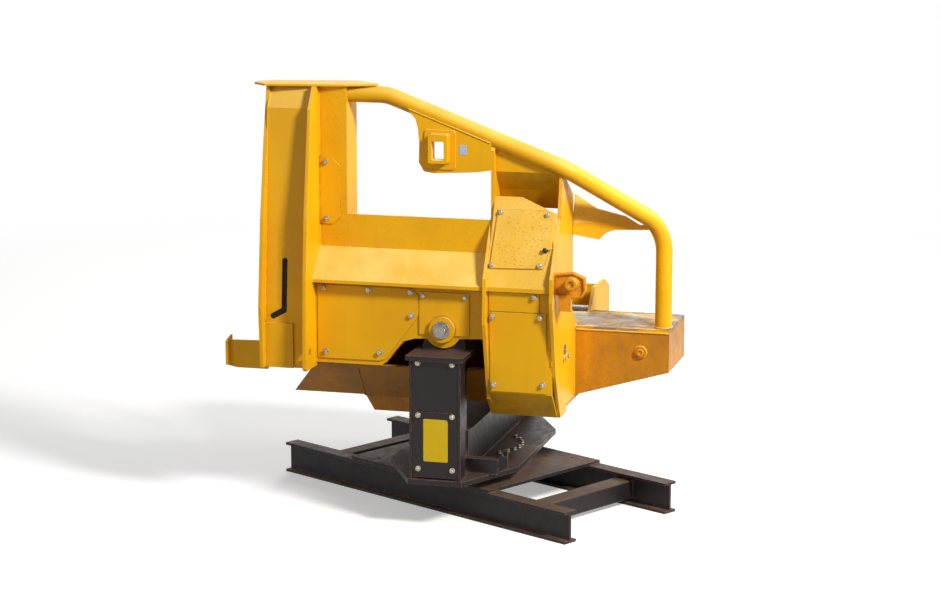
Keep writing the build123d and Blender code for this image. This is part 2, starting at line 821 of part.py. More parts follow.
# Folded plate behind the housing's top, up to the guard tube
house_top_line = [
    (-440, house_top_z - 80),
    (-500, house_top_z + 34),
    (GUARD_Y + 5, house_top_z + 145),
    (GUARD_Y + 5, rib_left_z),
]
with BuildPart() as house_top:
    with BuildSketch(Plane.YZ.offset(station_a_x)):
        Polygon(*sheet(house_top_line, SKIN), align=None)
    extrude(amount=RIB_RIGHT_X - station_a_x)
    with BuildSketch(Plane.XZ):
        Polygon(
            (station_a_x, house_top_z - 100),
            (RIB_RIGHT_X, house_top_z - 100),
            (RIB_RIGHT_X, guard_z(RIB_RIGHT_X)),
            (station_a_x, guard_z(station_a_x)),
            align=None,
        )
    extrude(amount=-PANEL_Y, both=True, mode=Mode.INTERSECT)
    add(guard_room.part, mode=Mode.SUBTRACT)
keep(house_top.part, "house_top")

# Brace from the right rib to the foot of the guard tube, its top leaning back
brace_run = Vector(GUARD_FOOT_X - rest_x, GUARD_FOOT_Y - BRACE_Y, 0)
brace_back = Vector(-brace_run.Y, brace_run.X, 0)
# Along the brace and up from the guard tube's knee, as shares of its run and rise
brace_shares = [
    (0, -0.2),
    (0.29, -0.37),
    (0.37, -0.145),
    (0.47, -0.07),
    (1, -0.08),
    (1, 0.03),
    (0.73, 0.08),
    (0.57, 0.34),
    (0.25, 0.57),
    (0, 1),
]
brace_line = [
    (0, guard_knee_z - 0.5 * BRACE_RISE),
    (0, guard_knee_z + 0.15 * BRACE_RISE),
    (0.42 * BRACE_RISE, guard_knee_z + 1.2 * BRACE_RISE),
]
with BuildPart() as guard_brace:
    with BuildSketch(Plane((rest_x, BRACE_Y, 0), x_dir=brace_back, z_dir=brace_run)):
        Polygon(*sheet(brace_line, BRACE_PLATE), align=None)
    extrude(amount=brace_run.length)
    with BuildSketch(Plane.XZ):
        Polygon(
            *[(rest_x + u * brace_run.X, guard_knee_z + v * BRACE_RISE) for u, v in brace_shares],
            align=None,
        )
    extrude(amount=-PANEL_Y, both=True, mode=Mode.INTERSECT)
    add(guard_room.part, mode=Mode.SUBTRACT)
keep(guard_brace.part, "guard_brace")

# Butt-end rest under the floor, open at the top where the floor closes it
end_line = [(rest_x, END_LOW_Z), (END_X, END_LOW_Z + END_RISE), (END_X, floor_z)]
with BuildPart() as end_box:
    with BuildSketch(Plane.XZ.offset(END_HALF)):
        Polygon((rest_x, floor_z), *end_line, align=None)
    extrude(amount=-2 * END_HALF)
    with BuildSketch(Plane.XZ.offset(END_HALF - SKIN)):
        Polygon((rest_x, floor_z), *offset_line(end_line, SKIN), align=None)
    extrude(amount=-2 * (END_HALF - SKIN), mode=Mode.SUBTRACT)
    with BuildSketch(Plane.XZ.offset(END_HALF)):
        with Locations((END_BOSS_X, END_BOSS_Z)):
            Circle(END_BOSS_R)
    extrude(amount=END_BOSS)
keep(end_box.part, "end_box")

# Bolted covers, name, plane, outline in the plane
front_fall = LIP_Z - LIP_DROP - HOUSE_FOLD_Z
front_plane = Plane(
    (0, HOUSE_FRONT_Y, LIP_Z - LIP_DROP),
    x_dir=(1, 0, 0),
    z_dir=(0, -front_fall, HOUSE_FRONT_Y - PANEL_Y),
)
cover_left_x = station_b_x + COVER_EDGE
cover_low_z = PANEL_BOTTOM_Z + 3 * COVER_EDGE
cover_high_z = LIP_Z - LIP_DROP - 2 * COVER_EDGE
cover_a_x = station_a_x + COVER_EDGE
slope_right_x = RIB_RIGHT_X - COVER_EDGE
covers = [
    (
        "side_cover",
        Plane.XZ.offset(-PANEL_Y),
        [
            (cover_left_x, cover_low_z),
            (cover_left_x, cover_high_z),
            (SIDE_COVER_X - COVER_CUT, cover_high_z),
            (SIDE_COVER_X, cover_high_z - COVER_CUT),
            (SIDE_COVER_X, SIDE_COVER_BEND_Z),
            (ARCH_FOOT_X + 2.5 * COVER_EDGE, cover_low_z + 1.5 * COVER_EDGE),
            (ARCH_FOOT_X - COVER_EDGE, cover_low_z),
        ],
    ),
    (
        "slope_cover",
        slope_plane,
        [
            (cover_a_x, 0.205 * slope_length),
            (cover_a_x + COVER_CUT / 2, 0.858 * slope_length),
            (slope_right_x - 1.2 * COVER_CUT, 0.858 * slope_length),
            (slope_right_x - COVER_CUT / 3, 0.82 * slope_length),
            (slope_right_x - COVER_CUT / 4, 0.775 * slope_length),
            (slope_right_x - COVER_CUT / 2, 0.362 * slope_length),
            (slope_right_x - COVER_CUT, 0.22 * slope_length),
        ],
    ),
    (
        "box_cover_low",
        front_plane,
        [
            (cover_a_x, COVER_EDGE - front_fall),
            (RIB_RIGHT_X - 3 * COVER_EDGE, COVER_EDGE - front_fall),
            (RIB_RIGHT_X - 3 * COVER_EDGE, -BOX_SPLIT - COVER_GAP),
            (cover_a_x, -BOX_SPLIT - COVER_GAP),
        ],
    ),
    (
        "box_cover_high",
        front_plane,
        [
            (cover_a_x, -BOX_SPLIT),
            (RIB_RIGHT_X - 7 * COVER_EDGE, -BOX_SPLIT),
            (RIB_RIGHT_X - 7 * COVER_EDGE, -COVER_GAP),
            (cover_a_x, -COVER_GAP),
        ],
    ),
    (
        "tower_cover",
        Plane.XZ.offset(-NAME_Y),
        [
            (station_b_x, SILL_Z - TOWER_COVER_DROP),
            (TOWER_COVER_X - COVER_CUT, SILL_Z - TOWER_COVER_DROP),
            (TOWER_COVER_X, SILL_Z - TOWER_COVER_DROP + COVER_CUT),
            (TOWER_COVER_X, SILL_Z + TOWER_COVER_RISE - COVER_CUT),
            (TOWER_COVER_X - COVER_CUT, SILL_Z + TOWER_COVER_RISE),
            (station_b_x, SILL_Z + TOWER_COVER_RISE),
        ],
    ),
]
for label, plane, outline in covers:
    with BuildPart() as cover:
        with BuildSketch(plane):
            Polygon(*outline, align=None)
        extrude(amount=COVER)
    keep(cover.part, label)

with BuildPart() as pin_cover:
    with BuildSketch(Plane.XZ.offset(-PANEL_Y)):
        Polygon(
            (SIDE_COVER_X + COVER_GAP, PIN_Z - PIN_COVER_DROP),
            (PIN_COVER_X, PIN_Z - PIN_COVER_DROP),
            (PIN_COVER_X, PIN_Z + PIN_COVER_RISE),
            (SIDE_COVER_X + COVER_GAP, PIN_Z + PIN_COVER_RISE),
            align=None,
        )
        with Locations((0, PIN_Z)):
            Circle(BOSS_R + COVER_GAP, mode=Mode.SUBTRACT)
    extrude(amount=COVER)
keep(pin_cover.part, "pin_cover")

# Lug for tying the head down on the road: plate, bored boss and the block under them
with BuildPart() as tie_lug:
    with BuildSketch(Plane.XZ.offset(-TIE_Y)):
        Polygon(
            (rest_x, TIE_BOSS_Z + 48),
            (TIE_BOSS_X + 2, TIE_BOSS_Z + 63),
            (TIE_BOSS_X + 74, TIE_BOSS_Z + 33),
            (TIE_BOSS_X + 80, TIE_BOSS_Z - 47),
            (TIE_BOSS_X + 52, TIE_BOSS_Z - 87),
            (TIE_BOSS_X - 48, TIE_BOSS_Z - 97),
            (rest_x, TIE_BOSS_Z - 77),
            align=None,
        )
    extrude(amount=FRAME_PLATE)
    with BuildSketch(Plane.XZ.offset(-TIE_Y + FRAME_PLATE)):
        with Locations((TIE_BOSS_X, TIE_BOSS_Z)):
            Circle(TIE_BOSS_R)
    extrude(amount=TIE_BOSS)
    with BuildSketch(Plane.XZ.offset(-TIE_Y)):
        with Locations((TIE_BOSS_X - 43, TIE_BOSS_Z - 120)):
            Rectangle(70, 95)
    extrude(amount=2 * FRAME_PLATE)
    with BuildSketch(Plane.XZ.offset(-TIE_Y)):
        with Locations((TIE_BOSS_X, TIE_BOSS_Z)):
            Circle(TIE_HOLE_R)
    extrude(amount=FRAME_PLATE + TIE_BOSS, mode=Mode.SUBTRACT)
keep(tie_lug.part, "tie_lug")

# Knife shafts in the cross plates, one a station a side
with BuildPart() as knife_pins:
    for left_x, right_x in ((SAW_INNER_X, bay_left_x), (RIB_LEFT_X, rest_x)):
        with BuildSketch(Plane.YZ.offset(left_x)):
            with Locations((-KNIFE_PIVOT_Y, KNIFE_PIVOT_Z), (KNIFE_PIVOT_Y, KNIFE_PIVOT_Z)):
                Circle(KNIFE_PIN_R)
        extrude(amount=right_x - left_x)
keep(knife_pins.part, "knife_pins")

# Knives, each drawn about its own shaft with the blade's circle beside it
hub_b = (station_b_x + RUNNING_GAP, JAMB_X - RUNNING_GAP)
hub_a = (station_a_x + RUNNING_GAP, RIB_RIGHT_X - RUNNING_GAP)
near_blade_x = hub_a[0] + KNIFE_SET
# name, side, left end of the hub, right end of the hub, left edge of the blade
knives = [
    ("knife_b_near", -1, hub_b, hub_b[0]),
    ("knife_b_far", 1, hub_b, hub_b[1] - KNIFE_BLADE),
    ("knife_a_near", -1, hub_a, near_blade_x),
    ("knife_a_far", 1, hub_a, near_blade_x + KNIFE_BLADE + RUNNING_GAP),
]
back_r = STEM_R + KNIFE_BLADE_THICK
for label, side, hub, blade_x in knives:
    arm_x = blade_x + KNIFE_BLADE - KNIFE_ARM / 2
    hub_mid = (hub[0] + hub[1]) / 2
    with BuildPart() as knife:
        with BuildSketch(knife_plane(side, hub_mid)):
            Circle(KNIFE_HUB_R)
        extrude(amount=(hub[1] - hub[0]) / 2, both=True)
        with BuildSketch(knife_plane(side, arm_x)):
            with BuildLine():
                tip_in = on_circle(back_r - KNIFE_ARM_SINK, KNIFE_TIP)
                heel_in = on_circle(back_r - KNIFE_ARM_SINK, KNIFE_HEEL)
                mid_in = on_circle(back_r - KNIFE_ARM_SINK, (KNIFE_TIP + KNIFE_HEEL) / 2)
                tip_out = on_circle(back_r + KNIFE_BLADE_THICK, KNIFE_TIP)
                back_out = on_circle(back_r + KNIFE_ARM_DEPTH, 165)
                hub_foot = (45, -KNIFE_HUB_R + 20)
                hub_back = (-KNIFE_HUB_R + 5, 0)
                ThreePointArc(tip_in, mid_in, heel_in)
                Polyline(heel_in, hub_foot, hub_back, back_out)
                ThreePointArc(back_out, on_circle(back_r + 62, 132), tip_out)
                Line(tip_out, tip_in)
            make_face()
        extrude(amount=KNIFE_ARM / 2, both=True)
        heel = radians(KNIFE_HEEL)
        local = knife_plane(side, blade_x)
        centre = local.from_local_coords(Vector(blade_y, blade_z, 0))
        outward = local.from_local_coords(Vector(blade_y + cos(heel), blade_z + sin(heel), 0)) - centre
        with BuildSketch(Plane(centre, x_dir=(1, 0, 0), z_dir=Vector(1, 0, 0).cross(outward))):
            Polygon(
                (0, STEM_R),
                (KNIFE_BLADE, STEM_R),
                (KNIFE_BLADE, back_r),
                (KNIFE_BEVEL, back_r),
                (0, STEM_R + KNIFE_EDGE),
                align=None,
            )
        revolve(axis=Axis(centre, Vector(side, 0, 0)), revolution_arc=KNIFE_HEEL - KNIFE_TIP)
        with BuildSketch(knife_plane(side, hub_mid)):
            Circle(KNIFE_PIN_R + FIT_GAP)
        extrude(amount=hub[1] - hub[0], both=True, mode=Mode.SUBTRACT)
    keep(knife.part, label)

# Topping saw: bar upright in its box, chain round it, drive behind
bar_mid_z = SAW_PIVOT_Z + SAW_LENGTH / 2
with BuildPart() as saw_bar:
    with BuildSketch(Plane.YZ.offset(SAW_X - SAW_BAR_PLATE / 2)):
        with Locations((SAW_PIVOT_Y, bar_mid_z)):
            SlotCenterToCenter(SAW_LENGTH, 2 * SAW_BAR_HALF, rotation=90)
    extrude(amount=SAW_BAR_PLATE)
    with BuildSketch(Plane.YZ.offset(SAW_X + SAW_BAR_PLATE / 2)):
        with Locations((SAW_PIVOT_Y, SAW_PIVOT_Z)):
            Circle(SAW_BAR_HUB_R)
    extrude(amount=SAW_BAR_HUB)
keep(saw_bar.part, "saw_bar")

with BuildPart() as saw_chain:
    with BuildSketch(Plane.YZ.offset(SAW_X - CHAIN_WIDTH / 2)):
        with Locations((SAW_PIVOT_Y, bar_mid_z)):
            SlotCenterToCenter(SAW_LENGTH, 2 * (SAW_BAR_HALF + CHAIN_BAND), rotation=90)
            SlotCenterToCenter(SAW_LENGTH, 2 * SAW_BAR_HALF, rotation=90, mode=Mode.SUBTRACT)
    extrude(amount=CHAIN_WIDTH)
keep(saw_chain.part, "saw_chain")

motor_x = SAW_X + SAW_BAR_PLATE / 2 + SAW_BAR_HUB + FIT_GAP
with BuildPart() as saw_drive:
    with BuildSketch(Plane.YZ.offset(motor_x)):
        with Locations((SAW_PIVOT_Y, SAW_PIVOT_Z)):
            Circle(SAW_HUB_R)
    extrude(amount=SAW_INNER_X - motor_x)
keep(saw_drive.part, "saw_drive")

# Swing ring, two races
for label, z in (("swing_ring_lower", race_z), ("swing_ring_upper", upper_race_z)):
    with BuildPart() as race:
        with BuildSketch(Plane.XY.offset(z)):
            Circle(RING_OUTER_R)
            Circle(RING_INNER_R, mode=Mode.SUBTRACT)
        extrude(amount=RING_RACE)
    keep(race.part, label)

# Yoke: plate, cross beam, posts, caps, ears
with BuildPart() as yoke_plate:
    with BuildSketch(Plane.XY.offset(yoke_z)):
        Polygon(
            (-YOKE_END_HALF, -YOKE_END),
            (YOKE_END_HALF, -YOKE_END),
            (YOKE_WAIST_HALF, -YOKE_WAIST_Y),
            (YOKE_WAIST_HALF, YOKE_WAIST_Y),
            (YOKE_END_HALF, YOKE_END),
            (-YOKE_END_HALF, YOKE_END),
            (-YOKE_WAIST_HALF, YOKE_WAIST_Y),
            (-YOKE_WAIST_HALF, -YOKE_WAIST_Y),
            align=None,
        )
    extrude(amount=YOKE_PLATE)
keep(yoke_plate.part, "yoke_plate")

with BuildPart() as yoke_beam:
    with BuildSketch(Plane.XZ.offset(-POST_BACK)):
        with Locations((0, post_z + BEAM_HEIGHT / 2)):
            Rectangle(2 * BEAM_HALF, BEAM_HEIGHT)
            Rectangle(2 * (BEAM_HALF - BEAM_WALL), BEAM_HEIGHT - 2 * BEAM_WALL, mode=Mode.SUBTRACT)
    extrude(amount=2 * POST_BACK)
keep(yoke_beam.part, "yoke_beam")

# Near post: a frame open to the front, its web, and a box column behind
post_mid = -(POST_FRONT + POST_BACK) / 2
post_depth = POST_FRONT - POST_BACK
web_back = POST_FRONT - POST_FLANGE - POST_WALL
lip_x = POST_HALF - POST_WALL - POST_LIP / 2
lip_y = -POST_FRONT + COVER_INSET + POST_WALL / 2
with BuildPart() as near_post:
    with BuildSketch(Plane.XY.offset(post_z)):
        with Locations((0, -(POST_FRONT + web_back) / 2)):
            Rectangle(2 * POST_HALF, POST_FRONT - web_back)
        with Locations((0, -POST_FRONT + POST_FLANGE / 2)):
            Rectangle(2 * (POST_HALF - POST_WALL), POST_FLANGE, mode=Mode.SUBTRACT)
        with Locations((-lip_x, lip_y), (lip_x, lip_y)):
            Rectangle(POST_LIP, POST_WALL)
        with Locations((0, -(web_back + POST_BACK) / 2)):
            Rectangle(2 * POST_CORE_HALF, web_back - POST_BACK)
        with Locations((0, -(web_back + POST_BACK + POST_WALL) / 2)):
            Rectangle(
                2 * (POST_CORE_HALF - POST_WALL),
                web_back - POST_BACK - POST_WALL,
                mode=Mode.SUBTRACT,
            )
    extrude(amount=cap_z - post_z)
keep(near_post.part, "near_post")

with BuildPart() as near_cap:
    with BuildSketch(Plane.XY.offset(cap_z)):
        with Locations((0, post_mid - CAP_OVERHANG / 2)):
            Rectangle(2 * (POST_HALF + CAP_OVERHANG), post_depth + CAP_OVERHANG)
    extrude(amount=CAP_PLATE)
keep(near_cap.part, "near_cap")

with BuildPart() as near_ear:
    with BuildSketch(Plane.XZ.offset(EAR_OUTER)):
        with Locations((0, PIN_Z)):
            Circle(EAR_R)
        with Locations((0, CAP_TOP_Z + EAR_FOOT / 2)):
            Rectangle(2 * EAR_HALF, EAR_FOOT)
        make_hull()
        with Locations((0, PIN_Z)):
            Circle(PIN_R + FIT_GAP, mode=Mode.SUBTRACT)
    extrude(amount=-EAR_PLATE)
keep(near_ear.part, "near_ear")

with BuildPart() as near_post_covers:
    for low_z, high_z in (
        (post_z + COVER_EDGE, POST_COVER_SPLIT - 2),
        (POST_COVER_SPLIT + 2, cap_z - 5),
    ):
        with BuildSketch(Plane.XZ.offset(POST_FRONT - COVER_INSET)):
            with Locations((0, (low_z + high_z) / 2)):
                Rectangle(2 * (POST_HALF - POST_WALL - 3), high_z - low_z)
        extrude(amount=COVER)
keep(near_post_covers.part, "near_post_covers")

for label, near in (
    ("far_post", near_post),
    ("far_cap", near_cap),
    ("far_ear", near_ear),
    ("far_post_covers", near_post_covers),
):
    with BuildPart() as far_side:
        mirror(near.part, about=Plane.XZ)
    keep(far_side.part, label)

# Stop beside the near post: a box tube with a lug at its end
stop_near = POST_BACK + POST_WALL
with BuildPart() as yoke_stop:
    with BuildSketch(Plane.YZ.offset(POST_CORE_HALF)):
        with Locations((-stop_near - STOP_HALF, post_z + STOP_HEIGHT / 2)):
            Rectangle(2 * STOP_HALF, STOP_HEIGHT)
            Rectangle(2 * (STOP_HALF - STOP_WALL), STOP_HEIGHT - 2 * STOP_WALL, mode=Mode.SUBTRACT)
    extrude(amount=STOP_END_X - POST_CORE_HALF)
    with BuildSketch(Plane.XZ.offset(stop_near + STOP_HALF + STOP_LUG_PLATE / 2)):
        stop_top_z = post_z + STOP_HEIGHT
        Polygon(
            (STOP_END_X, post_z + STOP_WALL),
            (STOP_END_X + STOP_LUG, post_z + STOP_HEIGHT / 2),
            (STOP_END_X + STOP_LUG, stop_top_z + STOP_LUG),
            (STOP_END_X + STOP_LUG / 2, stop_top_z + STOP_LUG),
            (STOP_END_X, stop_top_z),
            align=None,
        )
        with Locations((STOP_END_X + STOP_LUG * 0.7, stop_top_z + STOP_LUG * 0.55)):
            Circle(STOP_PIN_R, mode=Mode.SUBTRACT)
    extrude(amount=-STOP_LUG_PLATE)
    with BuildSketch(Plane.YZ.offset(STOP_END_X)):
        with Locations((-stop_near - STOP_HALF, post_z + STOP_HEIGHT / 2)):
            Rectangle(2 * STOP_HALF, STOP_HEIGHT)
    extrude(amount=-STOP_WALL)
keep(yoke_stop.part, "yoke_stop")

# Carrier frame
carrier = Plane.XY.rotated((0, 0, CARRIER_YAW))
rail_mid = RAIL_OUTER - RAIL_WIDTH / 2
bolt_square = 2 * (rail_mid - (RAIL_WIDTH + RAIL_WEB) / 4)
for label, side in (("carrier_rail_near", -1), ("carrier_rail_far", 1)):
    rail_start = carrier.from_local_coords(Vector(-RAIL_LENGTH / 2, side * rail_mid, 0))
    with BuildPart() as rail:
        with BuildSketch(Plane(rail_start, x_dir=carrier.y_dir, z_dir=carrier.x_dir)):
            with Locations((0, RAIL_FLANGE / 2), (0, RAIL_HEIGHT - RAIL_FLANGE / 2)):
                Rectangle(RAIL_WIDTH, RAIL_FLANGE)
            with Locations((0, RAIL_HEIGHT / 2)):
                Rectangle(RAIL_WEB, RAIL_HEIGHT - RAIL_FLANGE)
        extrude(amount=RAIL_LENGTH)
        with BuildSketch(carrier):
            with GridLocations(bolt_square, bolt_square, 2, 2):
                Circle(BOLT_HOLE_R)
        extrude(amount=RAIL_HEIGHT, mode=Mode.SUBTRACT)
    keep(rail.part, label)

tube_start = carrier.from_local_coords(Vector(0, -rail_mid + RAIL_WEB / 2, 0))
cross_inner = CROSS_TUBE - 2 * CROSS_WALL
with BuildPart() as cross_tubes:
    with BuildSketch(Plane(tube_start, x_dir=-carrier.x_dir, z_dir=carrier.y_dir)):
        with Locations((-CROSS_OUT, RAIL_HEIGHT / 2), (CROSS_OUT, RAIL_HEIGHT / 2)):
            RectangleRounded(CROSS_TUBE, CROSS_TUBE, CROSS_CORNER)
            RectangleRounded(cross_inner, cross_inner, CROSS_CORNER - CROSS_WALL, mode=Mode.SUBTRACT)
    extrude(amount=2 * rail_mid - RAIL_WEB)
keep(cross_tubes.part, "cross_tubes")

with BuildPart() as deck:
    with BuildSketch(carrier.offset(deck_z)):
        Rectangle(DECK_LENGTH, 2 * RAIL_OUTER)
        Circle(DECK_HOLE_R, mode=Mode.SUBTRACT)
        with GridLocations(bolt_square, bolt_square, 2, 2):
            Circle(BOLT_HOLE_R, mode=Mode.SUBTRACT)
    extrude(amount=DECK_PLATE)
keep(deck.part, "deck")
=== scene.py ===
import json
import math
import random

import bmesh
import bpy
from mathutils import Matrix, Vector


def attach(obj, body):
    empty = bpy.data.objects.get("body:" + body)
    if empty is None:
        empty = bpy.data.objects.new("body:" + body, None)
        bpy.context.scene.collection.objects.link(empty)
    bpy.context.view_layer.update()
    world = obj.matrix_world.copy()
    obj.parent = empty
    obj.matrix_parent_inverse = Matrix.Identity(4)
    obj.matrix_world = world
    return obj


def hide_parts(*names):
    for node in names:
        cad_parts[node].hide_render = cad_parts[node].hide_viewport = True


# Dresses the delimber: paint, steel, welds, bolts, saw chain and small fittings.
# Pieces are drawn in millimetres in the part's frame, and piece() brings them to metres.

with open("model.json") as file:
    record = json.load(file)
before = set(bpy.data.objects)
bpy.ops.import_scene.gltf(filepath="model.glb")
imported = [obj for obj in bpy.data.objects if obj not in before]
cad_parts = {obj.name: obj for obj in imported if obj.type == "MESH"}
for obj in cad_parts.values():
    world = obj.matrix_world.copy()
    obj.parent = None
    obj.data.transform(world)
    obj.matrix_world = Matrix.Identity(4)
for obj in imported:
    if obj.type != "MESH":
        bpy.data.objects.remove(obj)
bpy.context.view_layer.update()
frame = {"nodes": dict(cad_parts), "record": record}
nodes = frame["nodes"]

PHOTO_WIDTH = 940
SENSOR = 36.0
FOCAL_PX = 2650.0
CAMERA_AT = Vector((4.124, -15.428, 4.351))
CAMERA_TARGET = Vector((0.02, -0.2, 1.27))
MM = 0.001


def linear(red, green, blue):
    """A colour given as 0 to 255 screen values, as Blender's linear colour."""
    out = []
    for value in (red, green, blue):
        value /= 255.0
        out.append(value / 12.92 if value <= 0.04045 else ((value + 0.055) / 1.055) ** 2.4)
    return (*out, 1.0)


# Materials


class Graph:
    """A material's node tree, with a Principled shader and short calls for the nodes used here."""

    def __init__(self, name):
        self.material = bpy.data.materials.new(name)
        self.material.use_nodes = True
        self.tree = self.material.node_tree
        self.tree.nodes.clear()
        self.out = self.tree.nodes.new("ShaderNodeOutputMaterial")
        self.shader = self.tree.nodes.new("ShaderNodeBsdfPrincipled")
        self.join(self.shader.outputs["BSDF"], self.out.inputs["Surface"])
        self.place = self.tree.nodes.new("ShaderNodeTexCoord").outputs["Object"]
        self.geometry = self.tree.nodes.new("ShaderNodeNewGeometry")

    def join(self, source, target):
        self.tree.links.new(source, target)

    def feed(self, socket, value):
        """Links another node's socket, or sets a plain number or colour."""
        if hasattr(value, "is_output"):
            self.join(value, socket)
        else:
            socket.default_value = value

    def stretched(self, scale):
        """Object coordinates scaled along each axis, for streaks and grain."""
        node = self.tree.nodes.new("ShaderNodeMapping")
        node.inputs["Scale"].default_value = scale
        self.join(self.place, node.inputs["Vector"])
        return node.outputs["Vector"]

    def noise(self, scale, detail=3.0, rough=0.55, place=None):
        node = self.tree.nodes.new("ShaderNodeTexNoise")
        node.inputs["Scale"].default_value = scale
        node.inputs["Detail"].default_value = detail
        node.inputs["Roughness"].default_value = rough
        self.join(place or self.place, node.inputs["Vector"])
        return node.outputs["Fac"]

    def span(self, value, low, high, to_low=0.0, to_high=1.0):
        """Brings low to high onto to_low to to_high, held at both ends."""
        node = self.tree.nodes.new("ShaderNodeMapRange")
        self.feed(node.inputs["Value"], value)
        node.inputs["From Min"].default_value = low
        node.inputs["From Max"].default_value = high
        node.inputs["To Min"].default_value = to_low
        node.inputs["To Max"].default_value = to_high
        return node.outputs["Result"]

    def maths(self, kind, one, two=0.0):
        node = self.tree.nodes.new("ShaderNodeMath")
        node.operation = kind
        self.feed(node.inputs[0], one)
        self.feed(node.inputs[1], two)
        return node.outputs["Value"]

    def times(self, one, two):
        return self.maths("MULTIPLY", one, two)

    def blend(self, share, one, two):
        """Colour one where share is 0, and two where it is 1."""
        node = self.tree.nodes.new("ShaderNodeMix")
        node.data_type = "RGBA"
        self.feed(node.inputs["Factor"], share)
        self.feed(node.inputs["A"], one)
        self.feed(node.inputs["B"], two)
        return node.outputs["Result"]

    def facing(self, low, high):
        """How far a surface faces up, or down where low and high fall below nought."""
        split = self.tree.nodes.new("ShaderNodeSeparateXYZ")
        self.join(self.geometry.outputs["Normal"], split.inputs["Vector"])
        return self.span(split.outputs["Z"], low, high)

    def rounded(self, radius):
        """The normal with the corners rounded off."""
        node = self.tree.nodes.new("ShaderNodeBevel")
        node.samples = 4
        node.inputs["Radius"].default_value = radius
        return node.outputs["Normal"]

    def edges(self, radius):
        """1 on the outside and inside corners, 0 on the flats."""
        dot = self.tree.nodes.new("ShaderNodeVectorMath")
        dot.operation = "DOT_PRODUCT"
        self.join(self.rounded(radius), dot.inputs[0])
        self.join(self.geometry.outputs["Normal"], dot.inputs[1])
        return self.span(dot.outputs["Value"], 0.995, 0.80)

    def crevice(self, distance):
        """1 deep in corners and gaps, 0 in the open."""
        node = self.tree.nodes.new("ShaderNodeAmbientOcclusion")
        node.samples = 4
        node.inputs["Distance"].default_value = distance
        return self.span(node.outputs["AO"], 0.75, 0.25)

    def bump(self, height, depth, normal=None):
        node = self.tree.nodes.new("ShaderNodeBump")
        node.inputs["Distance"].default_value = depth
        self.join(height, node.inputs["Height"])
        if normal:
            self.join(normal, node.inputs["Normal"])
        return node.outputs["Normal"]


def painted(
    name, paint, deep, chip, dust, mud, wear=0.5, dusty=0.35, specks=0.0, soil=0.0, scraped=None, gloss=0.4
):
    """Enamel on plate: uneven tint, runs of dirt, dark corners of dirt and painted shade, dust and a painted
    highlight on what faces up, mud and painted shade on what faces down, chipped edges.

    specks is the share of small rust pits and soil that of broad dirt. scraped gives the two colours that
    dragged stems leave along X.
    """
    g = Graph(name)
    tint = g.span(g.noise(1.6, 4.0), 0.35, 0.65)
    colour = g.blend(g.times(tint, 0.5), paint, deep)
    streak = g.span(g.noise(9.0, 3.0, 0.5, g.stretched((1.0, 1.0, 0.12))), 0.55, 0.74)
    colour = g.blend(g.times(streak, 0.2), colour, deep)
    # Darker towards corners and gaps by the occlusion mask: dirt, and painted shade.
    corner_dirt_and_shade = g.times(g.crevice(0.05), g.span(g.noise(14.0, 4.0), 0.3, 0.6))
    colour = g.blend(g.times(corner_dirt_and_shade, 0.6), colour, chip)
    # Paler on what faces up: dust, and a painted highlight on tops and slopes.
    dust_and_top_highlight = g.times(g.facing(0.05, 0.62), g.span(g.noise(5.0, 5.0, 0.65), 0.3, 0.7, 0.4, 1.0))
    colour = g.blend(g.times(dust_and_top_highlight, dusty), colour, dust)
    # Darker on what faces down: mud, and painted shade under things.
    mud_and_underside_shade = g.times(g.facing(-0.05, -0.75), g.span(g.noise(7.0, 5.0, 0.7), 0.35, 0.65, 0.2, 1.0))
    colour = g.blend(g.times(mud_and_underside_shade, 0.55), colour, mud)
    if soil:
        smears = g.span(g.noise(3.4, 8.0, 0.7, g.stretched((1.0, 1.0, 0.6))), 0.38, 0.64)
        colour = g.blend(g.times(smears, soil), colour, mud)
    if specks:
        pits = g.span(g.noise(85.0, 5.0, 0.75), 0.57, 0.65)
        spread = g.span(g.noise(4.0, 4.0), 0.32, 0.58)
        colour = g.blend(g.times(g.times(pits, spread), specks), colour, chip)
    if scraped:
        drag = g.noise(2.4, 10.0, 0.66, g.stretched((0.6, 1.4, 1.4)))
        worn_through = g.span(drag, 0.38, 0.47)
        lines = g.noise(26.0, 6.0, 0.7, g.stretched((0.12, 1.0, 1.0)))
        rubbed_steel = g.blend(g.span(lines, 0.35, 0.65), scraped[0], scraped[1])
        rubbed_steel = g.blend(g.span(g.noise(5.0, 5.0, 0.7), 0.48, 0.62, 0.0, 0.6), rubbed_steel, mud)
        colour = g.blend(g.times(worn_through, 0.94), colour, rubbed_steel)
        g.join(g.times(worn_through, 0.65), g.shader.inputs["Metallic"])
    ragged = g.noise(34.0, 5.0, 0.72)
    edge = g.edges(0.005)
    rubbed = g.times(edge, g.span(ragged, 0.60 - 0.24 * wear, 0.70 - 0.2 * wear))
    colour = g.blend(rubbed, colour, chip)
    nick = g.times(g.span(g.noise(17.0, 6.0, 0.78), 0.71, 0.735), 0.25 + 0.4 * wear)
    colour = g.blend(nick, colour, chip)
    g.join(colour, g.shader.inputs["Base Color"])
    rough = g.span(g.noise(22.0, 4.0), 0.3, 0.7, gloss - 0.07, gloss + 0.12)
    rough = g.maths("ADD", rough, g.times(g.maths("MAXIMUM", dust_and_top_highlight, rubbed), 0.3))
    g.join(rough, g.shader.inputs["Roughness"])
    g.shader.inputs["Specular IOR Level"].default_value = 0.28
    waves = g.bump(g.noise(2.6, 2.0, 0.4), 0.004, g.rounded(0.0022))
    peel = g.bump(g.noise(260.0, 2.0, 0.5), 0.00012, waves)
    paint_left = g.maths("SUBTRACT", 1.0, g.maths("MAXIMUM", rubbed, nick))
    g.join(g.bump(paint_left, 0.0004, peel), g.shader.inputs["Normal"])
    return g.material


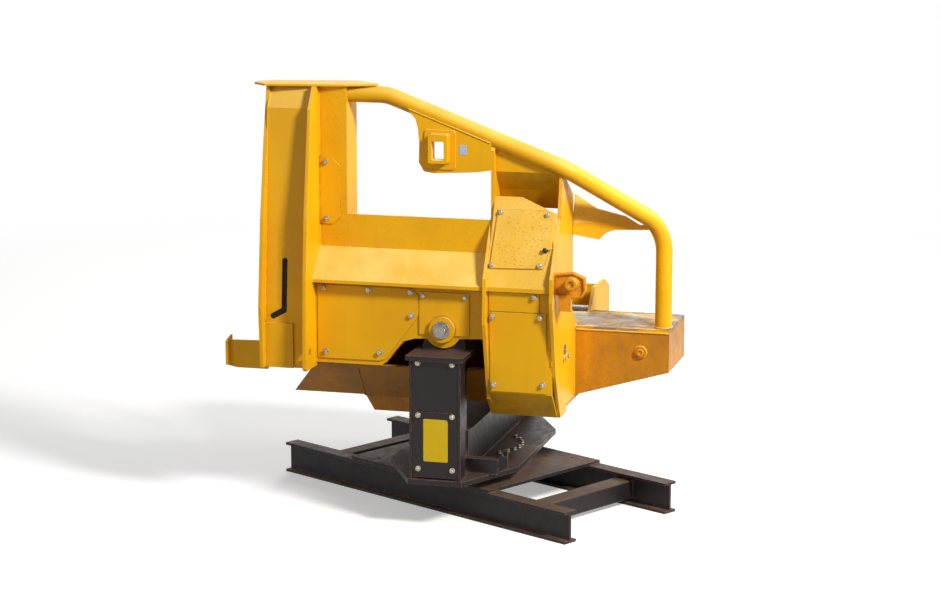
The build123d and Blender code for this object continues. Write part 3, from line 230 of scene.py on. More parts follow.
def steel(name, light, dark, stain, bright, rough=0.38, grain=(1.0, 1.0, 1.0), stains=0.5):
    """Bare steel: worn grain, brown stain in broad patches, edges rubbed bright."""
    g = Graph(name)
    fine = g.noise(120.0, 4.0, 0.6, g.stretched(grain))
    colour = g.blend(g.span(fine, 0.35, 0.65), light, dark)
    patch = g.span(g.noise(11.0, 5.0, 0.68), 0.48, 0.64)
    colour = g.blend(g.times(patch, stains), colour, stain)
    colour = g.blend(g.times(g.crevice(0.02), 0.6), colour, stain)
    polish = g.times(g.edges(0.004), g.span(g.noise(50.0, 4.0), 0.35, 0.5))
    colour = g.blend(polish, colour, bright)
    g.join(colour, g.shader.inputs["Base Color"])
    g.shader.inputs["Metallic"].default_value = 0.85
    uneven = g.span(fine, 0.3, 0.7, rough - 0.08, rough + 0.14)
    g.join(g.maths("ADD", uneven, g.times(patch, 0.15)), g.shader.inputs["Roughness"])
    g.join(g.bump(fine, 0.0003, g.rounded(0.002)), g.shader.inputs["Normal"])
    return g.material


YELLOW = linear(240, 181, 8)
YELLOW_DEEP = linear(218, 150, 4)
# Colour of chips, pits and dirt, also painted shade in corners.
CHIP_AND_SHADE = linear(128, 80, 36)
# Pale dust colour, also the painted highlight on tops and slopes.
PALE_DUST_AND_HIGHLIGHT = linear(252, 220, 128)
# Mud colour, also painted shade on what faces down.
MUD_AND_SHADE = linear(136, 92, 36)
BLACK = linear(36, 29, 31)
BLACK_DEEP = linear(24, 19, 21)
WORN_BROWN = linear(138, 106, 92)
BROWN_DUST = linear(112, 90, 74)
RUBBED = (linear(134, 128, 120), linear(96, 89, 82))
SOOT = linear(44, 36, 34)


def enamel(name, paint=YELLOW, deep=YELLOW_DEEP, **look):
    return painted(name, paint, deep, CHIP_AND_SHADE, PALE_DUST_AND_HIGHLIGHT, MUD_AND_SHADE, **look)


def dark_enamel(name, **look):
    return painted(name, BLACK, BLACK_DEEP, WORN_BROWN, BROWN_DUST, SOOT, **look)


yellow = enamel("yellow_paint", wear=0.4, dusty=0.5)
yellow_pitted = enamel("yellow_pitted", wear=0.5, dusty=0.76, specks=0.4, soil=0.08)
yellow_rusting = enamel("yellow_rusting", wear=0.7, dusty=0.76, specks=0.85, soil=0.16)
# A darker, soiled copy of the yellow for the end box and belly: mud, and painted shade.
yellow_soiled_and_shaded = enamel(
    "yellow_soiled_and_shaded", linear(214, 142, 8), linear(186, 112, 4), wear=0.7, dusty=0.3, specks=0.6, soil=0.7
)
yellow_scraped = enamel("yellow_scraped", wear=1.0, dusty=0.3, specks=0.4, scraped=RUBBED)
orange_chipped = enamel("orange_chipped", linear(234, 156, 22), linear(204, 118, 12), wear=1.0, specks=0.8)
black = dark_enamel("yoke_paint", wear=0.9, dusty=0.5, gloss=0.38)
carrier_black = dark_enamel("carrier_paint", wear=0.8, dusty=0.75, gloss=0.5)
drive_iron = dark_enamel("drive_iron", wear=0.7, dusty=0.3)
rubber = painted(
    "slot_rubber", linear(28, 25, 24), linear(20, 18, 18), linear(50, 42, 36), BROWN_DUST, SOOT, gloss=0.7
)
sign_yellow = enamel("sign_yellow", linear(222, 186, 10), linear(210, 172, 8), wear=0.2, gloss=0.3)
sign_pale = enamel("sign_pale", linear(176, 196, 228), linear(148, 172, 212), wear=0.2, dusty=0.1, gloss=0.3)
RUST_STAIN = linear(92, 62, 38)
bare = steel(
    "bare_steel", linear(164, 161, 154), linear(128, 124, 117), RUST_STAIN, linear(205, 202, 196),
    stains=0.35,
)
zinc = steel(
    "zinc_bolts", linear(180, 173, 156), linear(132, 124, 106), linear(110, 82, 50), linear(214, 208, 194),
    rough=0.4, stains=0.35,
)
knife_steel = steel(
    "knife_steel", linear(138, 128, 116), linear(78, 70, 62), linear(74, 50, 32), linear(206, 202, 194),
    rough=0.4, stains=0.85,
)
bar_steel = steel(
    "bar_steel", linear(150, 147, 140), linear(116, 112, 104), RUST_STAIN, linear(200, 197, 190),
    rough=0.34, grain=(1.0, 1.0, 0.05), stains=0.3,
)
chain_steel = steel(
    "chain_steel", linear(104, 98, 90), linear(52, 48, 44), RUST_STAIN, linear(170, 166, 158), rough=0.44,
)

FINISH_OF_SLOT = {
    "yellow_paint": yellow,
    "yoke_paint": black,
    "carrier_paint": carrier_black,
    "bare_steel": bare,
    "knife_steel": knife_steel,
    "chain_steel": chain_steel,
    "cast_drive": drive_iron,
}
FINISH_OF_NODE = {
    "trough_floor": yellow_scraped,
    "near_guide": yellow_scraped,
    "far_guide": yellow_scraped,
    "far_hood": yellow_scraped,
    "slope_cover": yellow_rusting,
    "house_skin": yellow_pitted,
    "side_panel": yellow_pitted,
    "rib_right": yellow_rusting,
    "end_box": yellow_soiled_and_shaded,
    "guard_brace": yellow_pitted,
    "belly_plate": yellow_soiled_and_shaded,
    "belly_guard": yellow_soiled_and_shaded,
    "tie_lug": orange_chipped,
    "saw_bar": bar_steel,
}
for part in frame["record"]["subparts"]:
    mesh = nodes[part["node"]].data
    mesh.materials.clear()
    mesh.materials.append(FINISH_OF_NODE.get(part["node"], FINISH_OF_SLOT[part["material_slot"]]))


# Shapes


def piece(name, mesh, material, body, sharp=35.0):
    """A finished mesh in millimetres as an object in metres that rides on a body."""
    bmesh.ops.recalc_face_normals(mesh, faces=mesh.faces)
    data = bpy.data.meshes.new(name)
    mesh.to_mesh(data)
    mesh.free()
    data.transform(Matrix.Scale(MM, 4))
    data.polygons.foreach_set("use_smooth", [True] * len(data.polygons))
    data.set_sharp_from_angle(angle=math.radians(sharp))
    data.materials.append(material)
    thing = bpy.data.objects.new(name, data)
    bpy.context.scene.collection.objects.link(thing)
    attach(thing, body)
    return thing


def seat(at, normal, along=(1, 0, 0)):
    """A place at a point, its Z along the normal and its X as near to along as it can be."""
    z = Vector(normal).normalized()
    x = Vector(along)
    x = (x - z * x.dot(z)).normalized()
    place = Matrix((x, z.cross(x), z)).transposed().to_4x4()
    place.translation = Vector(at)
    return place


def circle(radius, sides, turn=0.0):
    """Corners of a regular polygon about the origin."""
    return [
        (radius * math.cos(turn + math.tau * i / sides), radius * math.sin(turn + math.tau * i / sides))
        for i in range(sides)
    ]


def rounded(width, height, radius, steps=4):
    """A rectangle with round corners about the origin, counter-clockwise."""
    outline = []
    for quarter, (cx, cy) in enumerate(((1, 1), (-1, 1), (-1, -1), (1, -1))):
        for i in range(steps + 1):
            angle = math.pi / 2 * (quarter + i / steps)
            x = cx * (width / 2 - radius) + radius * math.cos(angle)
            y = cy * (height / 2 - radius) + radius * math.sin(angle)
            outline.append((x, y))
    return outline


def inset(outline, depth):
    """A closed counter-clockwise outline drawn in by depth."""
    moved = []
    for i, here in enumerate(outline):
        here = Vector(here)
        one = (here - Vector(outline[i - 1])).normalized()
        two = (Vector(outline[(i + 1) % len(outline)]) - here).normalized()
        moved.append(here + Vector((-one.y - two.y, one.x + two.x)) * (depth / (1 + one.dot(two))))
    return moved


def add_rings(mesh, place, layers):
    """The corners of outlines at given heights, as one list for each."""
    rings = []
    for outline, height in layers:
        rings.append([mesh.verts.new(place @ Vector((*point, height))) for point in outline])
    return rings


def join_rings(mesh, pairs):
    """Four-sided faces between the two rings of each pair."""
    for low, high in pairs:
        for i in range(len(low)):
            j = (i + 1) % len(low)
            mesh.faces.new((low[i], low[j], high[j], high[i]))


def add_stack(mesh, place, layers):
    """A closed solid through outlines at given heights, all with the same number of points."""
    rings = add_rings(mesh, place, layers)
    join_rings(mesh, zip(rings, rings[1:]))
    mesh.faces.new(rings[0][::-1])
    mesh.faces.new(rings[-1])


def add_loop(mesh, place, layers):
    """A closed ring through outlines that come back to the first."""
    rings = add_rings(mesh, place, layers)
    join_rings(mesh, zip(rings, rings[1:] + rings[:1]))


def add_turned(mesh, place, profile, sides=20, turn=0.0):
    """A turned form: profile is (radius, height) from its foot to its top."""
    add_stack(mesh, place, [(circle(radius, sides, turn), height) for radius, height in profile])


def add_plate(mesh, place, outline, height, bevel):
    """A flat plate with a bevel round its top."""
    add_stack(mesh, place, [(outline, 0), (outline, height - bevel), (inset(outline, bevel), height)])


def add_run(mesh, path, radii, sides, closed=False):
    """A tube along a path, with a radius for each of its stations."""
    rings = []
    side = None
    last = len(path) - 1
    for i, at in enumerate(path):
        before = path[i - 1] if closed or i else at
        after = path[(i + 1) % len(path)] if closed or i < last else at
        run = (after - before).normalized()
        if side is None:
            side = run.orthogonal()
        side = (side - run * side.dot(run)).normalized()
        up = run.cross(side)
        rings.append([mesh.verts.new(at + (side * x + up * y)) for x, y in circle(radii[i], sides)])
    pairs = list(zip(rings, rings[1:]))
    if closed:
        pairs.append((rings[-1], rings[0]))
    else:
        mesh.faces.new(rings[0][::-1])
        mesh.faces.new(rings[-1])
    join_rings(mesh, pairs)


def stations_along(points, step):
    """Points along straight runs, about a step apart."""
    points = [Vector(point) for point in points]
    stations = []
    for a, b in zip(points, points[1:]):
        count = max(1, round((b - a).length / step))
        stations += [a.lerp(b, i / count) for i in range(count)]
    return stations + [points[-1]]


BEAD_STEP = 6.0
BEAD_SIDES = 6


def add_bead(mesh, points, radius, chance):
    """A weld bead: rippled, a little uneven, its ends drawn in. It closes where it ends at its start."""
    path = stations_along(points, BEAD_STEP)
    closed = (path[0] - path[-1]).length < 0.01
    if closed:
        path.pop()
    sizes = [radius * (0.9 + 0.12 * (i % 2) + chance.uniform(-0.07, 0.07)) for i in range(len(path))]
    if not closed:
        sizes[0] *= 0.5
        sizes[-1] *= 0.5
    add_run(mesh, path, sizes, BEAD_SIDES, closed)


def welds(name, body, runs, radius=6.0, material=yellow):
    """One piece of weld beads, each along a run of points."""
    chance = random.Random(name)
    mesh = bmesh.new()
    for run in runs:
        add_bead(mesh, run, radius, chance)
    piece(name, mesh, material, body, sharp=70.0)


def at_x(x, points):
    """A run through (y, z) points at one X."""
    return [(x, y, z) for y, z in points]


def at_y(y, points):
    """A run through (x, z) points at one Y."""
    return [(x, y, z) for x, z in points]


def at_z(z, points):
    """A run through (x, y) points at one height."""
    return [(x, y, z) for x, y in points]


def across(runs):
    """The runs and their mirror images in the part's middle plane."""
    return runs + [[(x, -y, z) for x, y, z in run] for run in runs]


def ring(centre, normal, radius, start=0.0, sweep=360.0, along=(1, 0, 0), stretch=1.0):
    """Points round a circle, or an arc of it, in the plane across the normal."""
    place = seat(centre, normal, along)
    count = max(8, round(abs(sweep) / 6))
    angles = [math.radians(start + sweep * i / count) for i in range(count + 1)]
    return [tuple(place @ Vector((radius * math.cos(a), stretch * radius * math.sin(a), 0))) for a in angles]


def add_bolt(mesh, place, across_flats, chance, washer):
    """A washer and a chamfered hexagon head with a forged dish in its top."""
    r = across_flats / 2
    foot = 0.0
    if washer:
        add_turned(mesh, place, ((r * 1.32, 0.0), (r * 1.36, 1.2), (r * 1.28, 2.8)), 24)
        foot = 2.6
    corner = r / math.cos(math.pi / 6)
    top = foot + across_flats * 0.55
    flanks = ((corner * 0.97, foot), (corner, foot + 1.0), (corner, top - 1.6))
    chamfer = ((corner * 0.9, top), (corner * 0.62, top))
    add_turned(mesh, place, flanks + chamfer, 6, chance.uniform(0, math.pi / 3))
    add_turned(mesh, place, ((r * 0.66, top - 1.0), (r * 0.62, top + 1.0), (r * 0.4, top + 1.4)), 12)


def bolts(name, places, across_flats, body, washer=True):
    """One piece of bolts. places are (point, normal) pairs."""
    chance = random.Random(name)
    mesh = bmesh.new()
    for at, normal in places:
        add_bolt(mesh, seat(at, normal, (0.31, 0.42, 0.85)), across_flats, chance, washer)
    piece(name, mesh, zinc, body)


def add_nipple(mesh, at, normal):
    """A grease nipple: hexagon, neck and ball."""
    place = seat(at, normal, (0.3, 0.4, 0.86))
    add_turned(mesh, place, ((6.4, 0.0), (6.4, 4.2), (5.2, 5.0)), 6)
    add_turned(mesh, place, ((3.6, 4.6), (3.2, 8.0), (2.2, 9.6), (3.1, 11.0), (3.2, 12.6), (2.1, 14.0)), 12)


# Places in the part's frame, in millimetres

NEAR = Vector((0, -1, 0))
FAR = Vector((0, 1, 0))
RIGHT = Vector((1, 0, 0))
LEFT = Vector((-1, 0, 0))
UP = Vector((0, 0, 1))
GUARD_Y = -580
TUBE_R = 50
PIN_Z = 1175
SHAFT_Y = 500
SHAFT_Z = 1035
PANEL_COVER_Y = -750
POST_COVER_Y = 913
YOKE_TOP = 305.5
TROUGH_TOP = 1136
TROUGH_ENDS = (-611, 261)
RIB_FACES = ((262, -131), (282, -131), (662, -101), (682, -101))
COVER = 8
SLOPE_UP = Vector((0, 0.368, 0.930))
SLOPE_OUT = Vector((0, -0.930, 0.368))
FRONT_OUT = Vector((0, -0.998, -0.069))
TUBE_WELD_R = TUBE_R + 1


def guard_z(x):
    """Height of the guard tube's middle over its slope."""
    return 2530 - 402 * (x + 380) / 1080


def on_slope(u, v, out=COVER):
    """A point on the housing's slope: along X, up the slope and out of it."""
    return Vector((u, -812, 1455)) + SLOPE_UP * v + SLOPE_OUT * out


def on_front(x, z):
    """A point on the covers of the housing's front at a height."""
    return Vector((x, -785 + 0.0696 * (1430 - z), z)) + FRONT_OUT * COVER


# Welds of the head

SIDE_FOLD = [(-651, 1625), (-813, 1450), (-813, 1430), (-743, 1430)]
HOUSE_FOLD = [(-813, 1455), (-813, 1430), (-786, 1430)]
FACE_FOLD = [(-676, 2576), (-751, 2453)]
NEAR_TROUGH = [(-624, 1797), (-399, 1451), (-319, 1266), (-189, 1137)]
FAR_TROUGH = [(189, 1137), (319, 1266), (419, 1399)]
FAR_HOOD = [(741, 1308), (591, 1401), (434, 1401)]

welds(
    "tower_welds",
    "head",
    [
        at_x(-780, [(-651, 2574), (-651, 2157)]),
        at_x(-780, [(-651, 1753), *SIDE_FOLD, (-743, 938)]),
        at_x(-1065, [*FACE_FOLD, (-850, 1288), (-851, 1190)]),
        at_x(-1065, [(-864, 1182), (-864, 919)]),
        at_x(-801, [*FACE_FOLD, (-851, 1277), (-851, 919)]),
        at_z(2579, [(-1086, -708), (-1086, -563)]),
        at_z(2579, [(-611, -636), (-611, -453)]),
        ring((-611, GUARD_Y, 2530), RIGHT, TUBE_WELD_R),
        *[at_x(-1086, [(y, 881), (y, 1046)]) for y in (-761, -747)],
        at_x(-1327, [(-761, 892), (-761, 1041)]),
    ],
)
welds(
    "rib_welds",
    "head",
    [
        at_x(283, [(-719, 1690), *HOUSE_FOLD, (-747, 880)]),
        at_x(661, [(-706, 1725), *HOUSE_FOLD, (-755, 987)]),
        at_x(261, [(-651, 1800), *SIDE_FOLD, (-743, 1132)]),
        *[
            ring((x, GUARD_Y, guard_z(x)), RIGHT, TUBE_WELD_R, start, -33 - start, along=FAR, stretch=1.067)
            for x, start in RIB_FACES
        ],
        *[at_x(683, [(y, 1424), (y, 1544)]) for y in (-771, -749)],
        at_x(683, [(-311, 1703), (-311, 1769), (-242, 1930)]),
    ],
)
EYE_X = -48
EYE_Z = guard_z(EYE_X) - 186


def framed(x, y, z, width, height, radius):
    """A closed run round a rounded rectangle on a near face."""
    outline = rounded(width, height, radius)
    return [(x + u, y, z + v) for u, v in outline + outline[:1]]


welds(
    "gusset_welds",
    "head",
    [
        [(-243, -627, guard_z(-243) - 22), (260, -627, guard_z(260) - 22)],
        [(-214, -605, guard_z(-214) - 47), (259, -605, guard_z(259) - 47)],
        at_x(261, [(-605, 2114), (-605, 2242)]),
        framed(EYE_X, -627, EYE_Z, 186, 231, 19),
        framed(EYE_X, -635, EYE_Z + 10, 118, 172, 10),
    ],
    radius=5.0,
)
welds(
    "trough_welds",
    "head",
    [
        *[at_x(x, line) for line in (NEAR_TROUGH, FAR_TROUGH) for x in TROUGH_ENDS],
        *[at_z(TROUGH_TOP, [(-608, y), (258, y)]) for y in (-191, 191)],
        *[at_x(x, FAR_HOOD) for x in TROUGH_ENDS],
    ],
)
TRAY = [(-571, -453), (-164, -453), (-164, -119), (-571, -119), (-571, -453)]
welds(
    "end_welds",
    "head",
    [
        at_x(683, [(-206, 1136), (-251, 1136), (-251, 712), (251, 712), (251, 1136), (206, 1136)]),
        *[at_y(y, [(688, 1115), (1254, 1115)]) for y in (-251, 251)],
        ring((1203, -150, TROUGH_TOP), UP, TUBE_R + 2),
        ring((788, -771, 1497), NEAR, 35),
        ring((1087, -251, 995), NEAR, 35),
    ],
)
welds(
    "belly_welds",
    "head",
    [at_z(684, TRAY), at_x(-568, [(-604, 877), (-461, 686), (-461, 684), (-300, 684), (120, 684)])],
    material=yellow_soiled_and_shaded,
)
welds("boss_welds", "head", across([ring((0, -743, PIN_Z), NEAR, 79)]), radius=5.0)

# Welds of the cradle and the carrier

POST_SIDE = [(-156, -918), (-156, -817), (-119, -817), (-119, -642)]
STOP_GAP = [(156, -918), (156, -817), (119, -817), (119, -716)]
FAR_SIDE = [(x, -y) for x, y in POST_SIDE]
OPEN_SIDE = [(-x, -y) for x, y in POST_SIDE]
welds(
    "yoke_welds",
    "yoke",
    [
        *[at_z(z, line) for z in (YOKE_TOP, 1019) for line in (POST_SIDE, FAR_SIDE, OPEN_SIDE)],
        at_z(YOKE_TOP, STOP_GAP),
        at_z(1019, [(-x, y) for x, y in POST_SIDE]),
        *across([at_z(1049, [(-127, y), (127, y)]) for y in (-716, -674)]),
        *[at_z(YOKE_TOP, [(x, -638), (x, 638)]) for x in (-131, 131)],
        *across([at_z(545, [(-116, -641), (116, -641)])]),
        *[at_z(YOKE_TOP, [(124, y), (322, y)]) for y in (-713, -651)],
        at_x(119, [(-713, 307), (-713, 397), (-651, 397)]),
    ],
    material=black,
)
CARRIER_YAW = math.radians(-29)


def carried(run):
    """A run drawn square to the carrier's rails, turned to where they lie."""
    c = math.cos(CARRIER_YAW)
    s = math.sin(CARRIER_YAW)
    return [(x * c - y * s, x * s + y * c, z) for x, y, z in run]


tube_end = rounded(122, 122, 13)
carrier_runs = []
for end in (-1, 1):
    for side in (-1, 1):
        carrier_runs.append([(end * 850 + u, side * 442, 95 + v) for u, v in tube_end + tube_end[:1]])
        carrier_runs.append(at_z(191, [(end * 591, side * 404), (end * 591, side * 496)]))
carrier_runs = [carried(run) for run in carrier_runs]
welds("carrier_welds", "base", carrier_runs, material=carrier_black)

# Bolts

SIDE_COVER_BOLTS = ((-729, 1390), (-453, 1390), (-194, 1388), (-190, 1249), (-720, 1005), (-386, 1015))
bolts("side_cover_bolts", [((x, PANEL_COVER_Y, z), NEAR) for x, z in SIDE_COVER_BOLTS], 26, "head")
bolts("pin_cover_bolts", [((x, PANEL_COVER_Y, 1372), NEAR) for x in (140, -118)], 24, "head")
SLOPE_COVER_BOLTS = ((330, 445), (612, 440), (304, 131), (590, 138))
bolts("slope_cover_bolts", [(on_slope(u, v), SLOPE_OUT) for u, v in SLOPE_COVER_BOLTS], 22, "head")
BOX_COVER_BOLTS = ((310, 1275), (600, 1283), (310, 863), (609, 879), (565, 1405))
bolts("box_cover_bolts", [(on_front(x, z), FRONT_OUT) for x, z in BOX_COVER_BOLTS], 26, "head")
bolts("tower_cover_bolts", [((-744, -658, 2128), NEAR), ((-740, -658, 1789), NEAR)], 26, "head")
post_places = [(x, z) for x in (-104, 104) for z in (1002, 690, 367)]
bolts("near_post_bolts", [((x, -POST_COVER_Y, z), NEAR) for x, z in post_places], 25, "yoke")
bolts("far_post_bolts", [((x, POST_COVER_Y, z), FAR) for x, z in post_places], 25, "yoke")
# The swing ring's bolts, apart from those under the cross beam
RING_BOLTS = 28
RING_BOLT_R = 290
BEAM_CLEAR = 158
ring_places = []
for i in range(RING_BOLTS):
    angle = math.tau * (i + 0.5) / RING_BOLTS
    x = RING_BOLT_R * math.cos(angle)
    if abs(x) > BEAM_CLEAR:
        ring_places.append(((x, RING_BOLT_R * math.sin(angle), 304.5), UP))
bolts("ring_bolts", ring_places, 24, "yoke")

# Knife shafts: keeper bars and grease nipples on the plates' outer faces

KEEPER_Z = 994
KEEPER_THICK = 10
keepers = bmesh.new()
keeper_bolts = []
nipples = bmesh.new()
for x, out in ((682, RIGHT), (-801, LEFT)):
    for y in (-SHAFT_Y, SHAFT_Y):
        add_plate(keepers, seat((x, y, KEEPER_Z), out, FAR), rounded(112, 34, 8), KEEPER_THICK, 1.5)
        face_x = x + out.x * KEEPER_THICK
        keeper_bolts += [((face_x, y + shift, KEEPER_Z), out) for shift in (-38, 38)]
        add_nipple(nipples, (x, y, 1042), out)
piece("shaft_keepers", keepers, yellow_rusting, "head")
bolts("shaft_keeper_bolts", keeper_bolts, 18, "head", washer=False)
for side in (NEAR, FAR):
    add_nipple(nipples, Vector((0, 0, PIN_Z)) + side * 808, side)
piece("grease_nipples", nipples, zinc, "head")

# End box's plug, and the lug's thrust ring and rim

fittings = bmesh.new()
add_turned(fittings, seat((1087, -266, 995), NEAR), ((24, 0), (24, 5), (21, 7), (13, 7), (12, 2)), 28)
add_turned(
    fittings, seat((788, -830, 1497), NEAR), ((36, -14), (37, -12), (37, 1), (34, 4), (19, 4), (17, -6)), 32
)
LUG_OUTLINE = [(685, 1422), (740, 1402), (838, 1412), (865, 1451), (859, 1528), (790, 1557), (685, 1543)]
LUG_LIP = inset(LUG_OUTLINE, 9)
LUG_RIM = ((LUG_OUTLINE, 0), (LUG_OUTLINE, 11), (inset(LUG_OUTLINE, 1.5), 13), (LUG_LIP, 13), (LUG_LIP, 0))
add_loop(fittings, seat((0, -769, 0), NEAR), LUG_RIM)
piece("end_fittings", fittings, orange_chipped, "head")

# Latch of the slope cover: a bent arm from the rib to a round knob

arm = bmesh.new()
rod = [on_slope(u, v, out) for u, v, out in ((660, 240, 20), (646, 240, 24), (634, 236, 27), (620, 230, 26))]
rod = stations_along(rod, 3)
add_run(arm, rod, [5.0] * len(rod), 10)
piece("cover_latch_arm", arm, yellow_pitted, "head")
knob = bmesh.new()
add_turned(
    knob,
    seat(on_slope(616, 228, 8), SLOPE_OUT),
    ((15, 0), (16, 2), (13, 4), (8, 5), (8, 14), (12, 17), (13, 22), (9, 27), (4, 29)),
    20,
)
piece("cover_latch_knob", knob, drive_iron, "head")

# Bare plates where the photograph has signs

post_plate = bmesh.new()
add_plate(post_plate, seat((2.5, -POST_COVER_Y, 541), NEAR), rounded(149, 256, 9), 2.4, 0.6)
piece("post_plate", post_plate, sign_yellow, "yoke")
rivets = bmesh.new()
for x in (-62, 67):
    for z in (425, 657):
        add_turned(rivets, seat((x, -915.2, z), NEAR), ((3.6, 0), (3.4, 1), (2.2, 2), (0.9, 2.3)), 12)
piece("post_plate_rivets", rivets, zinc, "yoke")
tag = bmesh.new()
add_plate(tag, seat((93, -626, 2224), NEAR), rounded(44, 58, 5), 1.6, 0.5)
piece("gusset_tag", tag, sign_pale, "head")

# Rubber flaps behind the slot of the saw box

FACE_OUT = Vector((0, -0.9966, 0.0847))
FACE_SLOPE = 0.085
FLAP_Y = -824.5
FLAP_Z = 1398.7
flaps = bmesh.new()
for left, right in ((-1048, -945.1), (-944.9, -902)):
    place = seat(((left + right) / 2, FLAP_Y, FLAP_Z), FACE_OUT)
    add_plate(flaps, place, rounded(right - left, 410, 3, 2), 4, 0.8)
piece("slot_flaps", flaps, rubber, "head")
flap_bolts = []
for z in (1215, 1590):
    for x in (-1036, -914):
        flap_bolts.append((Vector((x, FLAP_Y + FACE_SLOPE * (z - FLAP_Z), z)), -FACE_OUT))
bolts("slot_flap_bolts", flap_bolts, 13, "head")

# Saw motor: end flange bolts, ports and a cast rib ring

motor = bmesh.new()
MOTOR_AT = Vector((0, -640, 1050))
add_turned(motor, seat(MOTOR_AT + RIGHT * -846, LEFT), ((80, -8), (87, -6), (87, 6), (80, 8)), 40)
for angle in (62, 90, 118):
    outward = Vector((0, math.cos(math.radians(angle)), math.sin(math.radians(angle))))
    place = seat(MOTOR_AT + outward * 76 + RIGHT * -876, outward)
    add_turned(motor, place, ((19, 0), (19, 10), (17, 12)), 20)
    add_turned(motor, place, ((14, 11), (15, 12), (15, 24), (13, 26)), 6)
    add_turned(motor, place, ((9, 25), (9, 33), (11, 34), (11, 42), (8, 44)), 20)
piece("saw_motor_ports", motor, drive_iron, "head")
BAR_FACE_X = -946
BAR_BOLT_R = 34
BAR_BOLTS = 6
bar_bolts = []
for i in range(BAR_BOLTS):
    angle = math.tau * i / BAR_BOLTS
    at = (BAR_FACE_X, MOTOR_AT.y + BAR_BOLT_R * math.cos(angle), MOTOR_AT.z + BAR_BOLT_R * math.sin(angle))
    bar_bolts.append((Vector(at), LEFT))
bolts("saw_bar_bolts", bar_bolts, 16, "saw")


# Saw chain: links round the bar, with a cutter at every fourth link, left and right in turn

CHAIN_X = -940
# Ends of the bar in Y and Z
CHAIN_LOW = Vector((-640, 1050))
CHAIN_HIGH = Vector((-640, 2010))
CHAIN_R = 50.6
CHAIN_PITCH = 20.4
STRAIGHT = (CHAIN_HIGH - CHAIN_LOW).length
HALF_TURN = math.pi * CHAIN_R


def round_end(middle, angle):
    """Point and direction in Y and Z on the chain's arc about an end of the bar."""
    outward = Vector((math.cos(angle), math.sin(angle)))
    return middle + CHAIN_R * outward, Vector((math.sin(angle), -math.cos(angle)))


def round_bar(s):
    """Point and direction in Y and Z at a distance along the chain's line."""
    s %= 2 * (STRAIGHT + HALF_TURN)
    if s < STRAIGHT:
        return CHAIN_LOW + Vector((-CHAIN_R, s)), Vector((0, 1))
    s -= STRAIGHT
    if s < HALF_TURN:
        return round_end(CHAIN_HIGH, math.pi - s / CHAIN_R)
    s -= HALF_TURN
    if s < STRAIGHT:
        return CHAIN_HIGH + Vector((CHAIN_R, -s)), Vector((0, -1))
    return round_end(CHAIN_LOW, -(s - STRAIGHT) / CHAIN_R)


TIE = [
    (-8.6, -0.6), (-6.4, -2.4), (6.4, -2.4), (8.6, -0.6), (8.6, 2.0),
    (6.0, 4.0), (0, 3.2), (-6.0, 4.0), (-8.6, 2.0),
]
DRIVE = [(-8.0, -2.2), (8.0, -2.2), (8.4, 1.6), (5.0, 4.6), (-5.0, 4.6), (-8.4, 1.6)]
CUTTER = [
    (-9.4, -2.2), (9.4, -2.2), (9.8, 2.0), (8.8, 7.0), (5.6, 7.2),
    (4.2, 3.4), (1.4, 3.2), (0.4, 7.4), (-9.4, 6.4),
]
TOP = [(-9.2, -1.2), (0.6, -1.2), (0.6, 6.4), (-9.2, 5.6)]
LINK_THICK = 1.8
LINK_BEVEL = 0.3
HALF_GAUGE = 3.4
RIVET_ALONG = 5.1
HAND_OF_LINK = {0: -1, 2: 1}
chain_mesh = bmesh.new()
chain_length = 2 * (STRAIGHT + HALF_TURN)
link_count = round(chain_length / CHAIN_PITCH)
for link in range(link_count):
    for half in (0, 1):
        (y, z), (ty, tz) = round_bar((link + half / 2) * chain_length / link_count)
        forward = Vector((0, ty, tz))
        if half:
            middle = seat((CHAIN_X - LINK_THICK / 2, y, z), RIGHT, forward)
            add_plate(chain_mesh, middle, DRIVE, LINK_THICK, LINK_BEVEL)
            continue
        hand = HAND_OF_LINK.get(link % 4, 0)
        for side in (-1, 1):
            at = (CHAIN_X + side * HALF_GAUGE - LINK_THICK / 2, y, z)
            outline = CUTTER if side == hand else TIE
            add_plate(chain_mesh, seat(at, RIGHT, forward), outline, LINK_THICK, LINK_BEVEL)
            for rivet in (-RIVET_ALONG, RIVET_ALONG):
                spot = seat((CHAIN_X + side * 4.2, y + ty * rivet, z + tz * rivet), RIGHT * side, forward)
                add_turned(chain_mesh, spot, ((2.1, 0), (2.1, 0.6), (1.3, 1.1)), 8)
        if hand:
            outward = Vector((0, -tz, ty))
            top = seat(Vector((CHAIN_X + hand * 4.0, y, z)) + outward * 5.6, outward, forward)
            plate = TOP if hand < 0 else [(u, -v) for u, v in reversed(TOP)]
            add_plate(chain_mesh, top, plate, 1.6, LINK_BEVEL)
links = piece("saw_chain_links", chain_mesh, chain_steel, "saw")
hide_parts("saw_chain")
NOSE_RIVETS = 5
NOSE_RIVET_R = 26
nose = bmesh.new()
for side in (-1, 1):
    face_x = CHAIN_X + side * 6
    for i in range(NOSE_RIVETS):
        a = math.tau * (i + 0.5) / NOSE_RIVETS
        y = CHAIN_HIGH.x + NOSE_RIVET_R * math.cos(a)
        z = CHAIN_HIGH.y + NOSE_RIVET_R * math.sin(a)
        add_turned(nose, seat((face_x, y, z), RIGHT * side, UP), ((4.4, 0), (4.2, 0.8), (2.6, 1.4)), 14)
    middle = seat((face_x, *CHAIN_HIGH), RIGHT * side, UP)
    add_turned(nose, middle, ((11, 0), (11, 1.2), (9, 2)), 24)
piece("saw_nose_rivets", nose, bare, "saw")

# Knives: welds of arm to blade and hub, thrust rings, grease nipple

